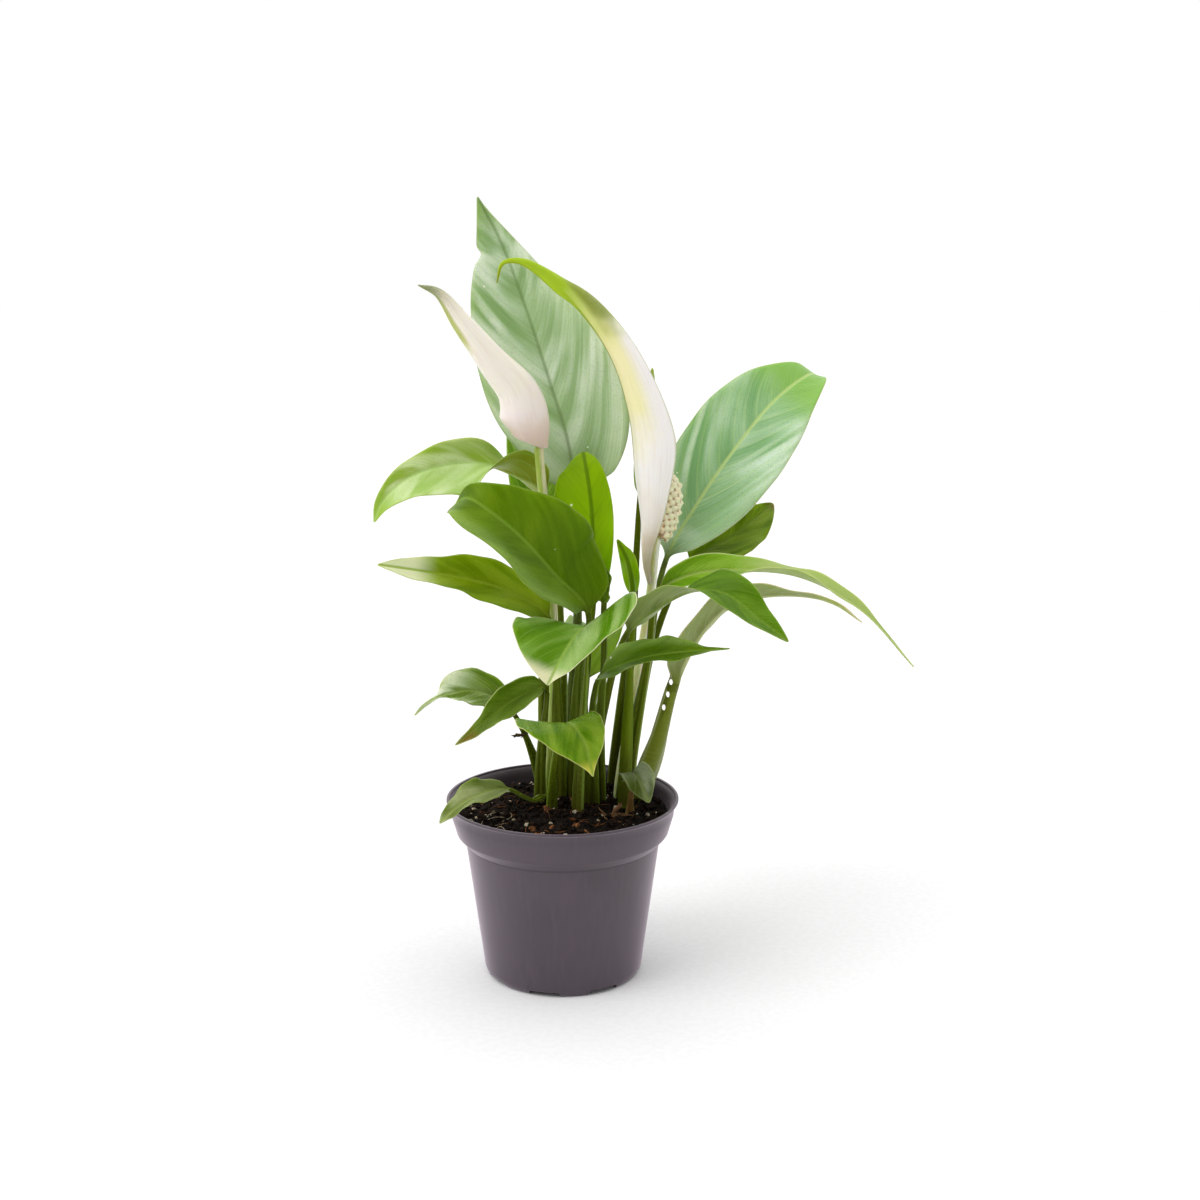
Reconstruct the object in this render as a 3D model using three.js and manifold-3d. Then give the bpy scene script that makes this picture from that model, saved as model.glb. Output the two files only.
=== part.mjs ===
// Peace lily in a 9 cm nursery pot: leaves and flowers that stand in peat in a thin plastic pot.
// Millimetres, +Z up. The origin is the centre of the flat face that the pot rests on.
// -Y is the front of the plant, and +X its right side.
import * as THREE from 'three';
import { mergeVertices } from 'three/addons/utils/BufferGeometryUtils.js';
import Module from 'manifold-3d';

const wasm = await Module();
wasm.setup();

// ---------------------------------------------------------------- driving dimensions
const CLEARANCE = 0.3;

// Pot: an open cone with a straight collar, a slanted step under it and a rolled lip.
const POT_HEIGHT = 70;
const LIP_RADIUS = 45;
const LIP_HEIGHT = 2.4;
const COLLAR_TOP_RADIUS = 43.2;
const COLLAR_FOOT_RADIUS = 41.4;
const COLLAR_FOOT_HEIGHT = 56.8;
const STEP_FOOT_HEIGHT = 52.3;
const BODY_TOP_RADIUS = 37.7;
const POT_BASE_RADIUS = 30.5;
const POT_WALL = 1.1;
const POT_SIDES = 44;
const POT_EDGE_ROUND = 0.6;
const FLOOR_THICKNESS = 1.4;
const REST_DISC_RADIUS = 15.5;
const CHANNEL_RISE = 1.6;
const CHANNEL_SLOPE = 1.2;
const FOOT_RING_WIDTH = 2.6;
const DRAIN_HOLES = 8;
const DRAIN_HOLE_RADIUS = 2.6;
const DRAIN_HOLE_SIDES = 12;
const FOOT_NOTCHES = 8;
const FOOT_NOTCH_WIDTH = 9;
const FOOT_NOTCH_HEIGHT = 1.3;
const FOOT_NOTCH_TURN = -58;

// Peat: a low mound that lies a few millimetres under the lip, and rounds off at the wall.
const SOIL_EDGE_HEIGHT = 63.5;
const SOIL_MOUND = 4.5;
const SOIL_SHOULDER = 2;
const SOIL_FOOT_INSET = 1;
const SOIL_RINGS = 7;
const SOIL_SIDES = 28;
const SOIL_CLOD_HEIGHT = 0.9;
const SOIL_RIPPLES = [
  { alongX: 0.31, alongY: 0.27, start: 0.9, share: 0.5 },
  { alongX: 0.31, alongY: -0.27, start: 0.9, share: 0.5 },
  { alongX: 0.23, alongY: -0.41, start: 2, share: 0.7 },
];
const SIDE_PLAY = 0.2;

// Stems: each one stands in a plain hole in the peat, and starts out straight up.
const HOLE_DEPTH = 9;
const HOLE_RISE = 12;
const STRAIGHT_RISE = 3;
const HOLE_SIDES = 8;
const HOLE_PLAY = 0.45;

// Leaves: how thick the blade is, and how finely each one is faceted.
const BLADE_THICKNESS = 0.8;
const TIP_HALF_WIDTH = 0.5;
const PETIOLE_ROWS = 5;
const FIRST_ROW = 0.35;
const SIDE_PHASE = 0.35;
const STEM_RING_START = 170;

// Flowers: round stalks, and a blunt spadix with staggered florets.
const STALK_RADIUS = 2.2;
const STALK_TOP_RADIUS = 1.7;
const STALK_ROWS = 10;
const STALK_COLUMNS = 3;
const SPADIX_DIMPLE = 0.84;
const SPADIX_FULLEST = 0.35;
const SPADIX_BLUNTNESS = 0.96;
const SPADIX_ROWS = 14;
const SPADIX_COLUMNS = 4;
const FRONT = new THREE.Vector3(0, -1, 0);

// Dry stub: a bent stem end with its points given like those of a leaf's stem.
const STUB_RADIUS = 1.4;
const STUB_TIP_SHARE = 0.6;
const STUB_ROWS = 4;
const STUB_BASE = [20, -14];
const STUB_POINTS = [[21, -15, 70], [23, -17, 73]];

// ---------------------------------------------------------------- materials
const finish = (color, roughness) => new THREE.MeshStandardMaterial({ color, roughness, metalness: 0 });
const POT_PLASTIC = () => finish(0x5a5059, 0.55);
const PEAT = () => finish(0x2a1c15, 0.95);
const LEAF_DARK = () => finish(0x4d7f1f, 0.4);
const LEAF_MID = () => finish(0x6c9a35, 0.4);
const LEAF_YOUNG = () => finish(0x8fb13a, 0.45);
const LEAF_SILVER = () => finish(0x8fae7c, 0.4);
const STALK_GREEN = () => finish(0xa9bf5a, 0.5);
const DRY_STEM = () => finish(0xa8743a, 0.8);
const SPATHE_CREAM = () => finish(0xf0e3d2, 0.55);
const SPADIX_CREAM = () => finish(0xe6dcb8, 0.7);

// ---------------------------------------------------------------- closed meshes
const vector = (point) => new THREE.Vector3(...point);
const radians = THREE.MathUtils.degToRad;
const lerp = THREE.MathUtils.lerp;

function meshFrom(name, positions, triangles, material) {
  const geometry = new THREE.BufferGeometry();
  geometry.setAttribute('position', new THREE.Float32BufferAttribute(positions, 3));
  geometry.setIndex(triangles);
  geometry.computeVertexNormals();
  const mesh = new THREE.Mesh(geometry, material);
  mesh.name = name;
  return mesh;
}

// Joins rings of equal length, each a loop of Vector3, into one closed skin with two flat ends.
function loft(name, rings, material) {
  const count = rings[0].length;
  const positions = rings.flat().flatMap((point) => point.toArray());
  const triangles = [];
  for (let row = 0; row < rings.length - 1; row += 1) {
    for (let i = 0; i < count; i += 1) {
      const here = row * count + i;
      const beside = row * count + ((i + 1) % count);
      // The lower half runs back, so its diagonal is turned to match the upper half.
      if (i < count / 2) {
        triangles.push(here, beside, beside + count, here, beside + count, here + count);
      } else {
        triangles.push(here, beside, here + count, beside, beside + count, here + count);
      }
    }
  }
  const last = (rings.length - 1) * count;
  for (const [i, j, k, l] of capQuads(count)) {
    triangles.push(i, k, j, i, l, k);
    triangles.push(last + i, last + j, last + k, last + i, last + k, last + l);
  }
  return meshFrom(name, positions, triangles, material);
}

// A ring's upper half and lower half face each other, so its end is closed by strips between them.
function capQuads(count) {
  const quads = [];
  for (let i = 0; i < count / 2 - 1; i += 1) {
    quads.push([i, i + 1, count - 2 - i, count - 1 - i]);
  }
  return quads;
}

function solidOf(geometry) {
  const bare = geometry.clone();
  bare.deleteAttribute('normal');
  bare.deleteAttribute('uv');
  const merged = mergeVertices(bare, 1e-4);
  return new wasm.Manifold(new wasm.Mesh({
    numProp: 3,
    vertProperties: new Float32Array(merged.attributes.position.array),
    triVerts: new Uint32Array(merged.index.array),
  }));
}

function meshOfSolid(name, solid, material) {
  const { vertProperties, triVerts } = solid.getMesh();
  return meshFrom(name, Array.from(vertProperties), Array.from(triVerts), material);
}

// ---------------------------------------------------------------- pot
function potProfile() {
  const floorTop = CHANNEL_RISE + FLOOR_THICKNESS;
  const ringInner = POT_BASE_RADIUS - FOOT_RING_WIDTH;
  const lipFoot = POT_HEIGHT - LIP_HEIGHT;
  const outside = [
    [0, 0],
    [REST_DISC_RADIUS, 0],
    [REST_DISC_RADIUS + CHANNEL_SLOPE, CHANNEL_RISE],
    [ringInner - CHANNEL_SLOPE, CHANNEL_RISE],
    [ringInner, 0],
    [POT_BASE_RADIUS - POT_EDGE_ROUND, 0],
    [POT_BASE_RADIUS, POT_EDGE_ROUND],
    [BODY_TOP_RADIUS, STEP_FOOT_HEIGHT],
    [COLLAR_FOOT_RADIUS, COLLAR_FOOT_HEIGHT],
    [COLLAR_TOP_RADIUS, lipFoot],
    [LIP_RADIUS, lipFoot + POT_EDGE_ROUND],
    [LIP_RADIUS, POT_HEIGHT - POT_EDGE_ROUND],
    [LIP_RADIUS - POT_EDGE_ROUND, POT_HEIGHT],
  ];
  const inside = [
    [COLLAR_TOP_RADIUS - POT_WALL, POT_HEIGHT],
    [COLLAR_FOOT_RADIUS - POT_WALL, COLLAR_FOOT_HEIGHT],
    [BODY_TOP_RADIUS - POT_WALL, STEP_FOOT_HEIGHT],
    [POT_BASE_RADIUS - POT_WALL, floorTop],
    [REST_DISC_RADIUS + CHANNEL_SLOPE - POT_EDGE_ROUND, floorTop],
    [REST_DISC_RADIUS - POT_EDGE_ROUND, FLOOR_THICKNESS],
    [0, FLOOR_THICKNESS],
  ];
  return [...outside, ...inside].map(([radius, height]) => new THREE.Vector2(radius, height));
}

function drainHole(number) {
  const angle = ((number + 0.5) * 2 * Math.PI) / DRAIN_HOLES;
  const channelRadius = (REST_DISC_RADIUS + POT_BASE_RADIUS - FOOT_RING_WIDTH) / 2;
  const depth = 3 * FLOOR_THICKNESS;
  const drill = new THREE.CylinderGeometry(DRAIN_HOLE_RADIUS, DRAIN_HOLE_RADIUS, depth, DRAIN_HOLE_SIDES);
  drill.rotateX(Math.PI / 2);
  return drill.translate(channelRadius * Math.cos(angle), channelRadius * Math.sin(angle), CHANNEL_RISE);
}

// Shallow notches in the foot ring let water run out from under the pot.
function footNotch(number) {
  const inner = POT_BASE_RADIUS - FOOT_RING_WIDTH - CHANNEL_SLOPE;
  const outer = POT_BASE_RADIUS + FOOT_NOTCH_HEIGHT;
  const cutter = new THREE.BoxGeometry(outer - inner, FOOT_NOTCH_WIDTH, 2 * FOOT_NOTCH_HEIGHT);
  cutter.translate((outer + inner) / 2, 0, 0);
  return cutter.rotateZ(radians(FOOT_NOTCH_TURN) + (number * 2 * Math.PI) / FOOT_NOTCHES);
}

function buildPot() {
  let pot = solidOf(new THREE.LatheGeometry(potProfile(), POT_SIDES).rotateX(Math.PI / 2));
  for (let i = 0; i < DRAIN_HOLES; i += 1) {
    pot = pot.subtract(solidOf(drainHole(i)));
  }
  for (let i = 0; i < FOOT_NOTCHES; i += 1) {
    pot = pot.subtract(solidOf(footNotch(i)));
  }
  return meshOfSolid('pot', pot, POT_PLASTIC());
}

// ---------------------------------------------------------------- soil
// The top of the peat: crossing ripples stand for the clods and hollows of a loose mound.
function soilHeight(x, y) {
  const fromAxis = Math.hypot(x, y) / COLLAR_FOOT_RADIUS;
  const mound = SOIL_MOUND * (1 - fromAxis ** 2);
  const clods = SOIL_RIPPLES.reduce((sum, { alongX, alongY, start, share }) => (
    sum + share * Math.sin(alongX * x + alongY * y + start)), 0);
  return SOIL_EDGE_HEIGHT + mound + SOIL_CLOD_HEIGHT * clods;
}

// The outline of the peat, from the middle of its underside up the wall and in over its top.
function soilProfile() {
  const wallGap = POT_WALL + CLEARANCE + SIDE_PLAY;
  const floorTop = CHANNEL_RISE + FLOOR_THICKNESS + CLEARANCE;
  const edgeHeight = SOIL_EDGE_HEIGHT - SOIL_SHOULDER;
  const rise = (edgeHeight - COLLAR_FOOT_HEIGHT) / (POT_HEIGHT - COLLAR_FOOT_HEIGHT);
  const edgeRadius = lerp(COLLAR_FOOT_RADIUS, COLLAR_TOP_RADIUS, rise) - wallGap;
  const profile = [
    [0, FLOOR_THICKNESS + CLEARANCE],
    [REST_DISC_RADIUS - SOIL_FOOT_INSET, FLOOR_THICKNESS + CLEARANCE],
    [REST_DISC_RADIUS + CHANNEL_SLOPE - SOIL_FOOT_INSET, floorTop],
    [POT_BASE_RADIUS - wallGap, floorTop],
    [BODY_TOP_RADIUS - wallGap, STEP_FOOT_HEIGHT],
    [COLLAR_FOOT_RADIUS - wallGap, COLLAR_FOOT_HEIGHT],
    [edgeRadius, edgeHeight],
  ];
  for (let ring = 0; ring <= SOIL_RINGS; ring += 1) {
    profile.push([edgeRadius * (1 - ring / SOIL_RINGS), SOIL_EDGE_HEIGHT]);
  }
  return profile.map(([radius, height]) => new THREE.Vector2(radius, height));
}

function buildSoil(stemHoles) {
  const geometry = new THREE.LatheGeometry(soilProfile(), SOIL_SIDES).rotateX(Math.PI / 2);
  const position = geometry.attributes.position;
  for (let i = 0; i < position.count; i += 1) {
    if (position.getZ(i) > SOIL_EDGE_HEIGHT - SOIL_SHOULDER / 2) {
      position.setZ(i, soilHeight(position.getX(i), position.getY(i)));
    }
  }
  let soil = solidOf(geometry);
  for (const hole of stemHoles) {
    soil = soil.subtract(solidOf(hole));
  }
  return meshOfSolid('soil', soil, PEAT());
}

// ---------------------------------------------------------------- stems
// A line that leaves the soil at [x, y] and passes through the points that follow.
function stemCurve([x, y], points) {
  const foot = new THREE.Vector3(x, y, soilHeight(x, y) - HOLE_DEPTH);
  const neck = new THREE.Vector3(x, y, soilHeight(x, y) + STRAIGHT_RISE);
  return new THREE.CatmullRomCurve3([foot, neck, ...points.map(vector)], false, 'centripetal');
}

// The share of a curve's length that lies before its control point of that number.
function lengthShare(curve, pointNumber) {
  const perSpan = 40;
  const lengths = curve.getLengths(perSpan * (curve.points.length - 1));
  return lengths[perSpan * pointNumber] / lengths.at(-1);
}

// Directions given at equal steps from 0 to 1, blended between.
function blend(directions, share) {
  const place = THREE.MathUtils.clamp(share, 0, 1) * (directions.length - 1);
  const first = Math.min(Math.floor(place), directions.length - 2);
  return vector(directions[first]).lerp(vector(directions[first + 1]), place - first);
}

// The way forward, across and up out of the upper side, at a share of the curve's length.
function frameAt(curve, share, face) {
  const origin = curve.getPointAt(share);
  const forward = curve.getTangentAt(share);
  const up = face.clone().addScaledVector(forward, -face.dot(forward)).normalize();
  const across = new THREE.Vector3().crossVectors(forward, up);
  return { origin, forward, across, up };
}

// An oval ring with as many points as a blade's ring: left to right over the top, and back below.
function stemRing({ origin, across, up }, halfWidth, halfHeight, columns) {
  const sweep = 2 * STEM_RING_START - 180;
  const ring = [];
  for (const start of [STEM_RING_START, STEM_RING_START - 180]) {
    for (let i = 0; i <= columns; i += 1) {
      const angle = radians(start - (sweep * i) / columns);
      ring.push(origin.clone()
        .addScaledVector(across, halfWidth * Math.cos(angle))
        .addScaledVector(up, halfHeight * Math.sin(angle)));
    }
  }
  return ring;
}

// A plain slanted hole round the buried end of a stem.
function stemHole(curve, stemRadius) {
  const start = curve.getPointAt(0);
  const along = curve.getTangentAt(0);
  const radius = (stemRadius + CLEARANCE) / Math.cos(Math.PI / HOLE_SIDES) + HOLE_PLAY;
  const length = HOLE_DEPTH + HOLE_RISE;
  const drill = new THREE.CylinderGeometry(radius, radius, length, HOLE_SIDES);
  drill.translate(0, length / 2 - CLEARANCE, 0);
  const turn = new THREE.Quaternion().setFromUnitVectors(new THREE.Vector3(0, 1, 0), along);
  return drill.applyQuaternion(turn).translate(...start);
}

// ---------------------------------------------------------------- blades
// Half the width of a leaf along its length: rounded at the base and drawn out to the tip.
function leafOutline(blade, share, side) {
  const widest = blade.widest[side];
  const base = blade.round;
  const tip = (base * (1 - widest)) / widest;
  return (share / widest) ** base * ((1 - share) / (1 - widest)) ** tip;
}

// A spathe runs down its stalk as a narrow strip, swells and draws out to a long tip.
function spatheOutline(blade, share, side) {
  const widest = blade.widest[side];
  const swell = THREE.MathUtils.smoothstep(share, 0, widest);
  const taper = share < widest ? 1 : ((1 - share) / (1 - widest)) ** blade.round;
  return swell * taper;
}

// A point of a blade's middle surface. q runs from -1 at the left edge to 1 at the right edge.
function bladePoint(blade, frame, share, q) {
  const side = q < 0 ? 0 : 1;
  const halfWidth = blade.halfWidths[side] * blade.outline(blade, share, side)
    + lerp(blade.footWidth, TIP_HALF_WIDTH, share);
  const bend = radians(blade.cup);
  const spread = Math.sin(bend * Math.abs(q)) / bend;
  const lift = (1 - Math.cos(bend * q)) / bend;
  const fold = radians(blade.fold);
  const outward = halfWidth * (spread * Math.cos(fold) - lift * Math.sin(fold));
  const ripple = Math.sin(2 * Math.PI * (blade.waves * share + blade.phase + SIDE_PHASE * side));
  const wave = blade.wave * q ** 2 * ripple * Math.sin(Math.PI * share);
  const raise = halfWidth * (spread * Math.sin(fold) + lift * Math.cos(fold)) + wave;
  return frame.origin.clone()
    .addScaledVector(frame.across, outward * Math.sign(q))
    .addScaledVector(frame.up, raise);
}

function gridNormal(grid, row, i) {
  const next = grid[Math.min(row + 1, grid.length - 1)][i];
  const before = grid[Math.max(row - 1, 0)][i];
  const line = grid[row];
  const right = line[Math.min(i + 1, line.length - 1)];
  const left = line[Math.max(i - 1, 0)];
  const along = next.clone().sub(before);
  return right.clone().sub(left).cross(along).normalize();
}

// Rings round a thin blade that follows the curve from the share `start` to its end.
function bladeRings(blade, curve, start) {
  // Rows lie closer together towards the base and the tip.
  const shares = Array.from({ length: blade.rows + 1 }, (_, row) => (
    (1 - Math.cos((Math.PI * (row + FIRST_ROW)) / (blade.rows + FIRST_ROW))) / 2));
  const sides = Array.from({ length: blade.columns + 1 }, (_, i) => (2 * i) / blade.columns - 1);
  const grid = shares.map((share) => {
    const frame = frameAt(curve, lerp(start, 1, share), blend(blade.faces, share));
    return sides.map((q) => bladePoint(blade, frame, share, q));
  });
  return grid.map((line, row) => {
    const above = [];
    const below = [];
    line.forEach((point, i) => {
      const normal = gridNormal(grid, row, i);
      const keel = sides[i] === 0 ? blade.keel * (1 - shares[row]) : 0;
      above.push(point.clone().addScaledVector(normal, BLADE_THICKNESS / 2));
      below.unshift(point.clone().addScaledVector(normal, -BLADE_THICKNESS / 2 - keel));
    });
    return [...above, ...below];
  });
}

// ---------------------------------------------------------------- leaves
// stem, neck: the stem's radius at its foot and at the blade. sheath: how much wider the foot is.
// fold, cup: degrees that each half tilts up at the midrib, and bends from there to its edge.
const LEAF_DEFAULTS = {
  outline: leafOutline,
  widest: [0.4, 0.4],
  round: 0.62,
  footWidth: 0.8,
  fold: 12,
  cup: 14,
  wave: 1.2,
  waves: 2,
  phase: 0,
  keel: 1.1,
  rows: 12,
  columns: 4,
  stem: 2.1,
  neck: 1.1,
  sheath: 1.2,
};

// A leaf is one piece: a stem with a sheath at its foot, a neck, and a blade.
function buildLeaf(options) {
  const leaf = { ...LEAF_DEFAULTS, ...options };
  const curve = stemCurve(leaf.base, [...leaf.petiole, ...leaf.blade]);
  const start = lengthShare(curve, 1 + leaf.petiole.length);
  const rings = [];
  for (let row = 0; row < PETIOLE_ROWS; row += 1) {
    const share = row / PETIOLE_ROWS;
    const frame = frameAt(curve, start * share, vector(leaf.faces[0]));
    const height = lerp(leaf.stem, leaf.neck, share);
    const width = height * lerp(leaf.sheath, 1, share);
    rings.push(stemRing(frame, width, height, leaf.columns));
  }
  rings.push(...bladeRings(leaf, curve, start));
  const hole = stemHole(curve, leaf.stem * leaf.sheath);
  return { mesh: loft(leaf.name, rings, leaf.material()), hole };
}

// base: where the leaf leaves the soil. petiole: points of its stem, the last one at the blade.
// blade: points of the midrib from there to the tip. faces: where its upper side looks on the way.
const LEAVES = [
  {
    name: 'leaf_back_tall',
    material: LEAF_SILVER,
    base: [1.5, 23],
    petiole: [[5.5, 21, 128], [5, 20, 184]],
    blade: [[2, 24, 206], [-4, 30, 225], [-14, 38, 255], [-24, 44, 281], [-33, 46, 298]],
    faces: [[0.1, -1, 0.1], [-0.1, -1, 0.3], [-0.3, -1, 0.5]],
    halfWidths: [26.5, 28],
    widest: [0.4, 0.3],
    columns: 6,
    cup: 20,
    wave: 2,
    round: 0.7,
  },
  {
    name: 'leaf_right_upper',
    material: LEAF_SILVER,
    base: [24, 16],
    petiole: [[33, 18, 120], [40, 14, 161]],
    blade: [[53, 21, 183], [67, 29, 202], [83, 38, 220], [97, 48, 229], [102, 58, 228]],
    faces: [[-0.3, -1, 0.3], [-0.2, -1, 0.5], [-0.1, -1, 0.8]],
    halfWidths: [20, 22],
    widest: [0.46, 0.46],
    round: 0.8,
    columns: 6,
    cup: 12,
    fold: 6,
  },
  {
    name: 'leaf_right_behind',
    material: LEAF_DARK,
    base: [25, 22],
    petiole: [[36, 27, 126], [50, 27, 157]],
    blade: [[68, 36, 167], [84, 46, 178]],
    faces: [[-0.2, -1, 0.8], [-0.2, -1, 0.8]],
    halfWidths: [9, 13],
    widest: [0.42, 0.42],
  },
  {
    name: 'leaf_left_arching',
    material: LEAF_MID,
    base: [-2, 15],
    petiole: [[-1, 14, 131], [-6, 11, 186]],
    blade: [[-18, 14, 194], [-31, 15, 198], [-47, 12, 197], [-60, 9, 192], [-68, 6, 184], [-71, 4, 177]],
    faces: [[0.3, 1, 0.5], [0, -0.9, 0.5], [-0.4, -1, 0.4]],
    halfWidths: [16, 9],
    widest: [0.38, 0.38],
    columns: 6,
  },
  {
    name: 'leaf_upright_young',
    material: LEAF_YOUNG,
    base: [8, 9],
    petiole: [[8, 4, 117], [12, -1, 147]],
    blade: [[12, -1, 168], [11, 1, 186], [9, 6, 199], [8, 12, 203]],
    faces: [[0, 1, 0.2], [0, 1, -0.1]],
    halfWidths: [8, 15],
    widest: [0.55, 0.55],
  },
  {
    name: 'leaf_front_left_broad',
    material: LEAF_DARK,
    base: [4.5, 3],
    petiole: [[6, -3, 118], [10, -13, 146]],
    blade: [[-2, -21, 162], [-14, -28, 177], [-25, -31, 187], [-33, -27, 191], [-38, -21, 188]],
    faces: [[-0.3, -1, 1], [-0.2, -1, 1], [-0.4, -0.6, 0.8]],
    halfWidths: [14.5, 21],
    widest: [0.58, 0.36],
    columns: 6,
  },
  {
    name: 'leaf_left_lance',
    material: LEAF_MID,
    base: [-2, 2],
    petiole: [[-2, 0, 108], [-5, -2, 141]],
    blade: [[-18, -3, 151], [-34, -6, 157], [-52, -10, 161], [-68, -13, 164]],
    faces: [[0, -1, 1], [0, -1, 1.2]],
    halfWidths: [10, 9],
  },
  {
    name: 'leaf_front_centre',
    material: LEAF_YOUNG,
    base: [6, -9],
    petiole: [[8, -10, 105], [10, -16, 130], [10, -24, 143]],
    blade: [[6, -33, 142], [1, -42, 136], [-4, -48, 127]],
    faces: [[-0.6, -0.5, 1.2], [-0.4, -1, 0.7]],
    halfWidths: [30, 22],
    fold: 16,
    widest: [0.28, 0.42],
  },
  {
    name: 'leaf_front_right_dark',
    material: LEAF_DARK,
    base: [11, -3],
    petiole: [[11.5, -5, 102], [12.2, -8, 112], [14.5, -10.5, 120.5]],
    blade: [[21.5, -15.5, 126], [33, -21, 131], [48, -26, 134], [62, -29, 136]],
    faces: [[0, -0.5, 1], [0, -0.3, 1]],
    halfWidths: [9.5, 13],
    widest: [0.3, 0.3],
  },
  {
    name: 'leaf_right_folded',
    material: LEAF_MID,
    base: [11.5, 5.5],
    petiole: [[12.4, 5, 88], [16.5, 2.5, 107], [25, -6, 137]],
    blade: [[36, -13, 148], [49, -21, 156], [60, -28, 156], [72, -35, 148], [82, -40, 141]],
    faces: [[-0.4, 1, 0.5], [0, -0.2, 1], [0.3, -1, 0.8]],
    halfWidths: [11, 11],
  },
  {
    name: 'leaf_right_long',
    material: LEAF_MID,
    base: [24, 3],
    petiole: [[33, 4, 125], [37, 4, 150]],
    blade: [[48, 2, 157], [67, -2, 160], [89, -9, 159], [111, -17, 148], [130, -25, 128]],
    faces: [[-0.3, -1, 0.7], [0, 0.1, 1], [0.4, -0.3, 1]],
    halfWidths: [7, 7],
    widest: [0.3, 0.3],
  },
  {
    name: 'leaf_right_low_arch',
    material: LEAF_SILVER,
    base: [31, 11],
    petiole: [[37, 13, 88], [43.5, 15, 112]],
    blade: [[49, 16, 124], [57, 16, 136], [66, 17, 143], [84, 19, 146], [104, 21, 143], [118, 23, 134]],
    faces: [[-0.8, 1, 0.5], [-0.5, 0.4, 0.5], [0, 0.2, 1]],
    halfWidths: [7, 7],
    widest: [0.3, 0.3],
    sheath: 1.5,
    stem: 2.5,
    neck: 2.4,
    footWidth: 3,
  },
  {
    name: 'leaf_low_left_small',
    material: LEAF_MID,
    base: [-9, 18],
    petiole: [[-16, 14, 93], [-22, 10, 104]],
    blade: [[-31, 4, 111], [-42, -1, 112], [-50, -6, 110], [-56, -9, 105]],
    faces: [[0, -1, 1], [-0.3, -1, 1]],
    halfWidths: [8, 8],
    stem: 1.5,
    neck: 0.9,
    widest: [0.36, 0.36],
  },
  {
    name: 'leaf_low_left_dark',
    material: LEAF_DARK,
    base: [-9, 4],
    petiole: [[-8, 2, 94], [-6, -1, 108], [-6.5, -4, 115]],
    blade: [[-17, -8, 112], [-29, -13, 104], [-40, -18, 96]],
    faces: [[-0.2, -1, 0.8], [-0.8, -1, 0.4]],
    halfWidths: [6.5, 6],
    widest: [0.4, 0.26],
    stem: 1.5,
    neck: 0.9,
  },
  {
    name: 'leaf_front_low',
    material: LEAF_YOUNG,
    base: [-4, -9],
    petiole: [[-3, -14, 87], [0, -17, 103]],
    blade: [[4, -25, 106], [9, -33, 101], [12, -38, 90]],
    faces: [[0.35, -0.7, 0.9], [0.3, -0.9, 0.4]],
    halfWidths: [11, 22],
    fold: 6,
    stem: 1.5,
    neck: 0.9,
    widest: [0.3, 0.3],
  },
  {
    name: 'leaf_low_right_small',
    material: LEAF_MID,
    base: [26, -8],
    petiole: [[27, -8, 79]],
    blade: [[27, -10, 83], [29, -15, 82], [33, -20, 74]],
    faces: [[0, -0.7, 1], [0.2, -1, 0.4]],
    halfWidths: [6, 6],
    stem: 1.2,
    neck: 0.9,
  },
  {
    name: 'leaf_over_rim',
    material: LEAF_MID,
    base: [-7, -3],
    petiole: [[-11, -8, 71], [-15, -12, 74], [-20, -16, 78]],
    blade: [[-29, -23, 79], [-37, -27, 76], [-45, -32, 70]],
    faces: [[0, -0.5, 1], [-0.3, -0.5, 1]],
    halfWidths: [6, 6],
    stem: 1.2,
    neck: 0.9,
  },
  {
    name: 'leaf_young_spear',
    material: LEAF_YOUNG,
    base: [24, -3],
    petiole: [[26, 1, 120], [27, 0, 150]],
    blade: [[25, -2, 163], [21, -4, 172]],
    faces: [[0, 1, 0.2], [0, 1, 0.2]],
    halfWidths: [3.5, 3.5],
    fold: 30,
    stem: 1.6,
  },
  {
    name: 'leaf_young_folded',
    material: LEAF_DARK,
    base: [14.5, 0],
    petiole: [[14.4, -2.5, 100], [16, -5, 125], [16, -6, 148]],
    blade: [[17, -8, 157], [15.5, -8, 164]],
    faces: [[-0.6, -1, 0.2], [-0.6, -1, 0.2]],
    halfWidths: [4, 4],
    fold: 30,
    stem: 1.6,
  },
  {
    name: 'leaf_hidden_spear',
    material: LEAF_MID,
    base: [21, 28],
    petiole: [[27, 24.5, 130], [30, 20, 185]],
    blade: [[33, 22, 214], [34.5, 22, 234]],
    faces: [[0, -1, 0.2], [0, -1, 0.2]],
    halfWidths: [4, 4],
    fold: 25,
  },
  {
    name: 'leaf_rear_upper',
    material: LEAF_MID,
    base: [-7, 29],
    petiole: [[-8, 33, 120], [-7, 38, 160]],
    blade: [[-8, 50, 190], [-11, 66, 208], [-15, 84, 213], [-18, 98, 206]],
    faces: [[0, -1, 0.6], [0, -0.3, 1], [-0.1, 0.2, 1]],
    halfWidths: [15, 15],
  },
  {
    name: 'leaf_rear_low',
    material: LEAF_DARK,
    base: [7, 33],
    petiole: [[7, 37, 90], [8, 42, 105]],
    blade: [[10, 54, 117], [13, 70, 121], [15, 86, 115], [16, 98, 102]],
    faces: [[0, -1, 0.8], [0, 0.1, 1], [0.1, 0.8, 1]],
    halfWidths: [13, 13],
  },
];

// ---------------------------------------------------------------- flowers
const SPATHE_DEFAULTS = {
  outline: spatheOutline,
  fold: 0,
  wave: 0.6,
  waves: 1,
  phase: 0,
  keel: 0.5,
  rows: 16,
  columns: 8,
};

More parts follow.
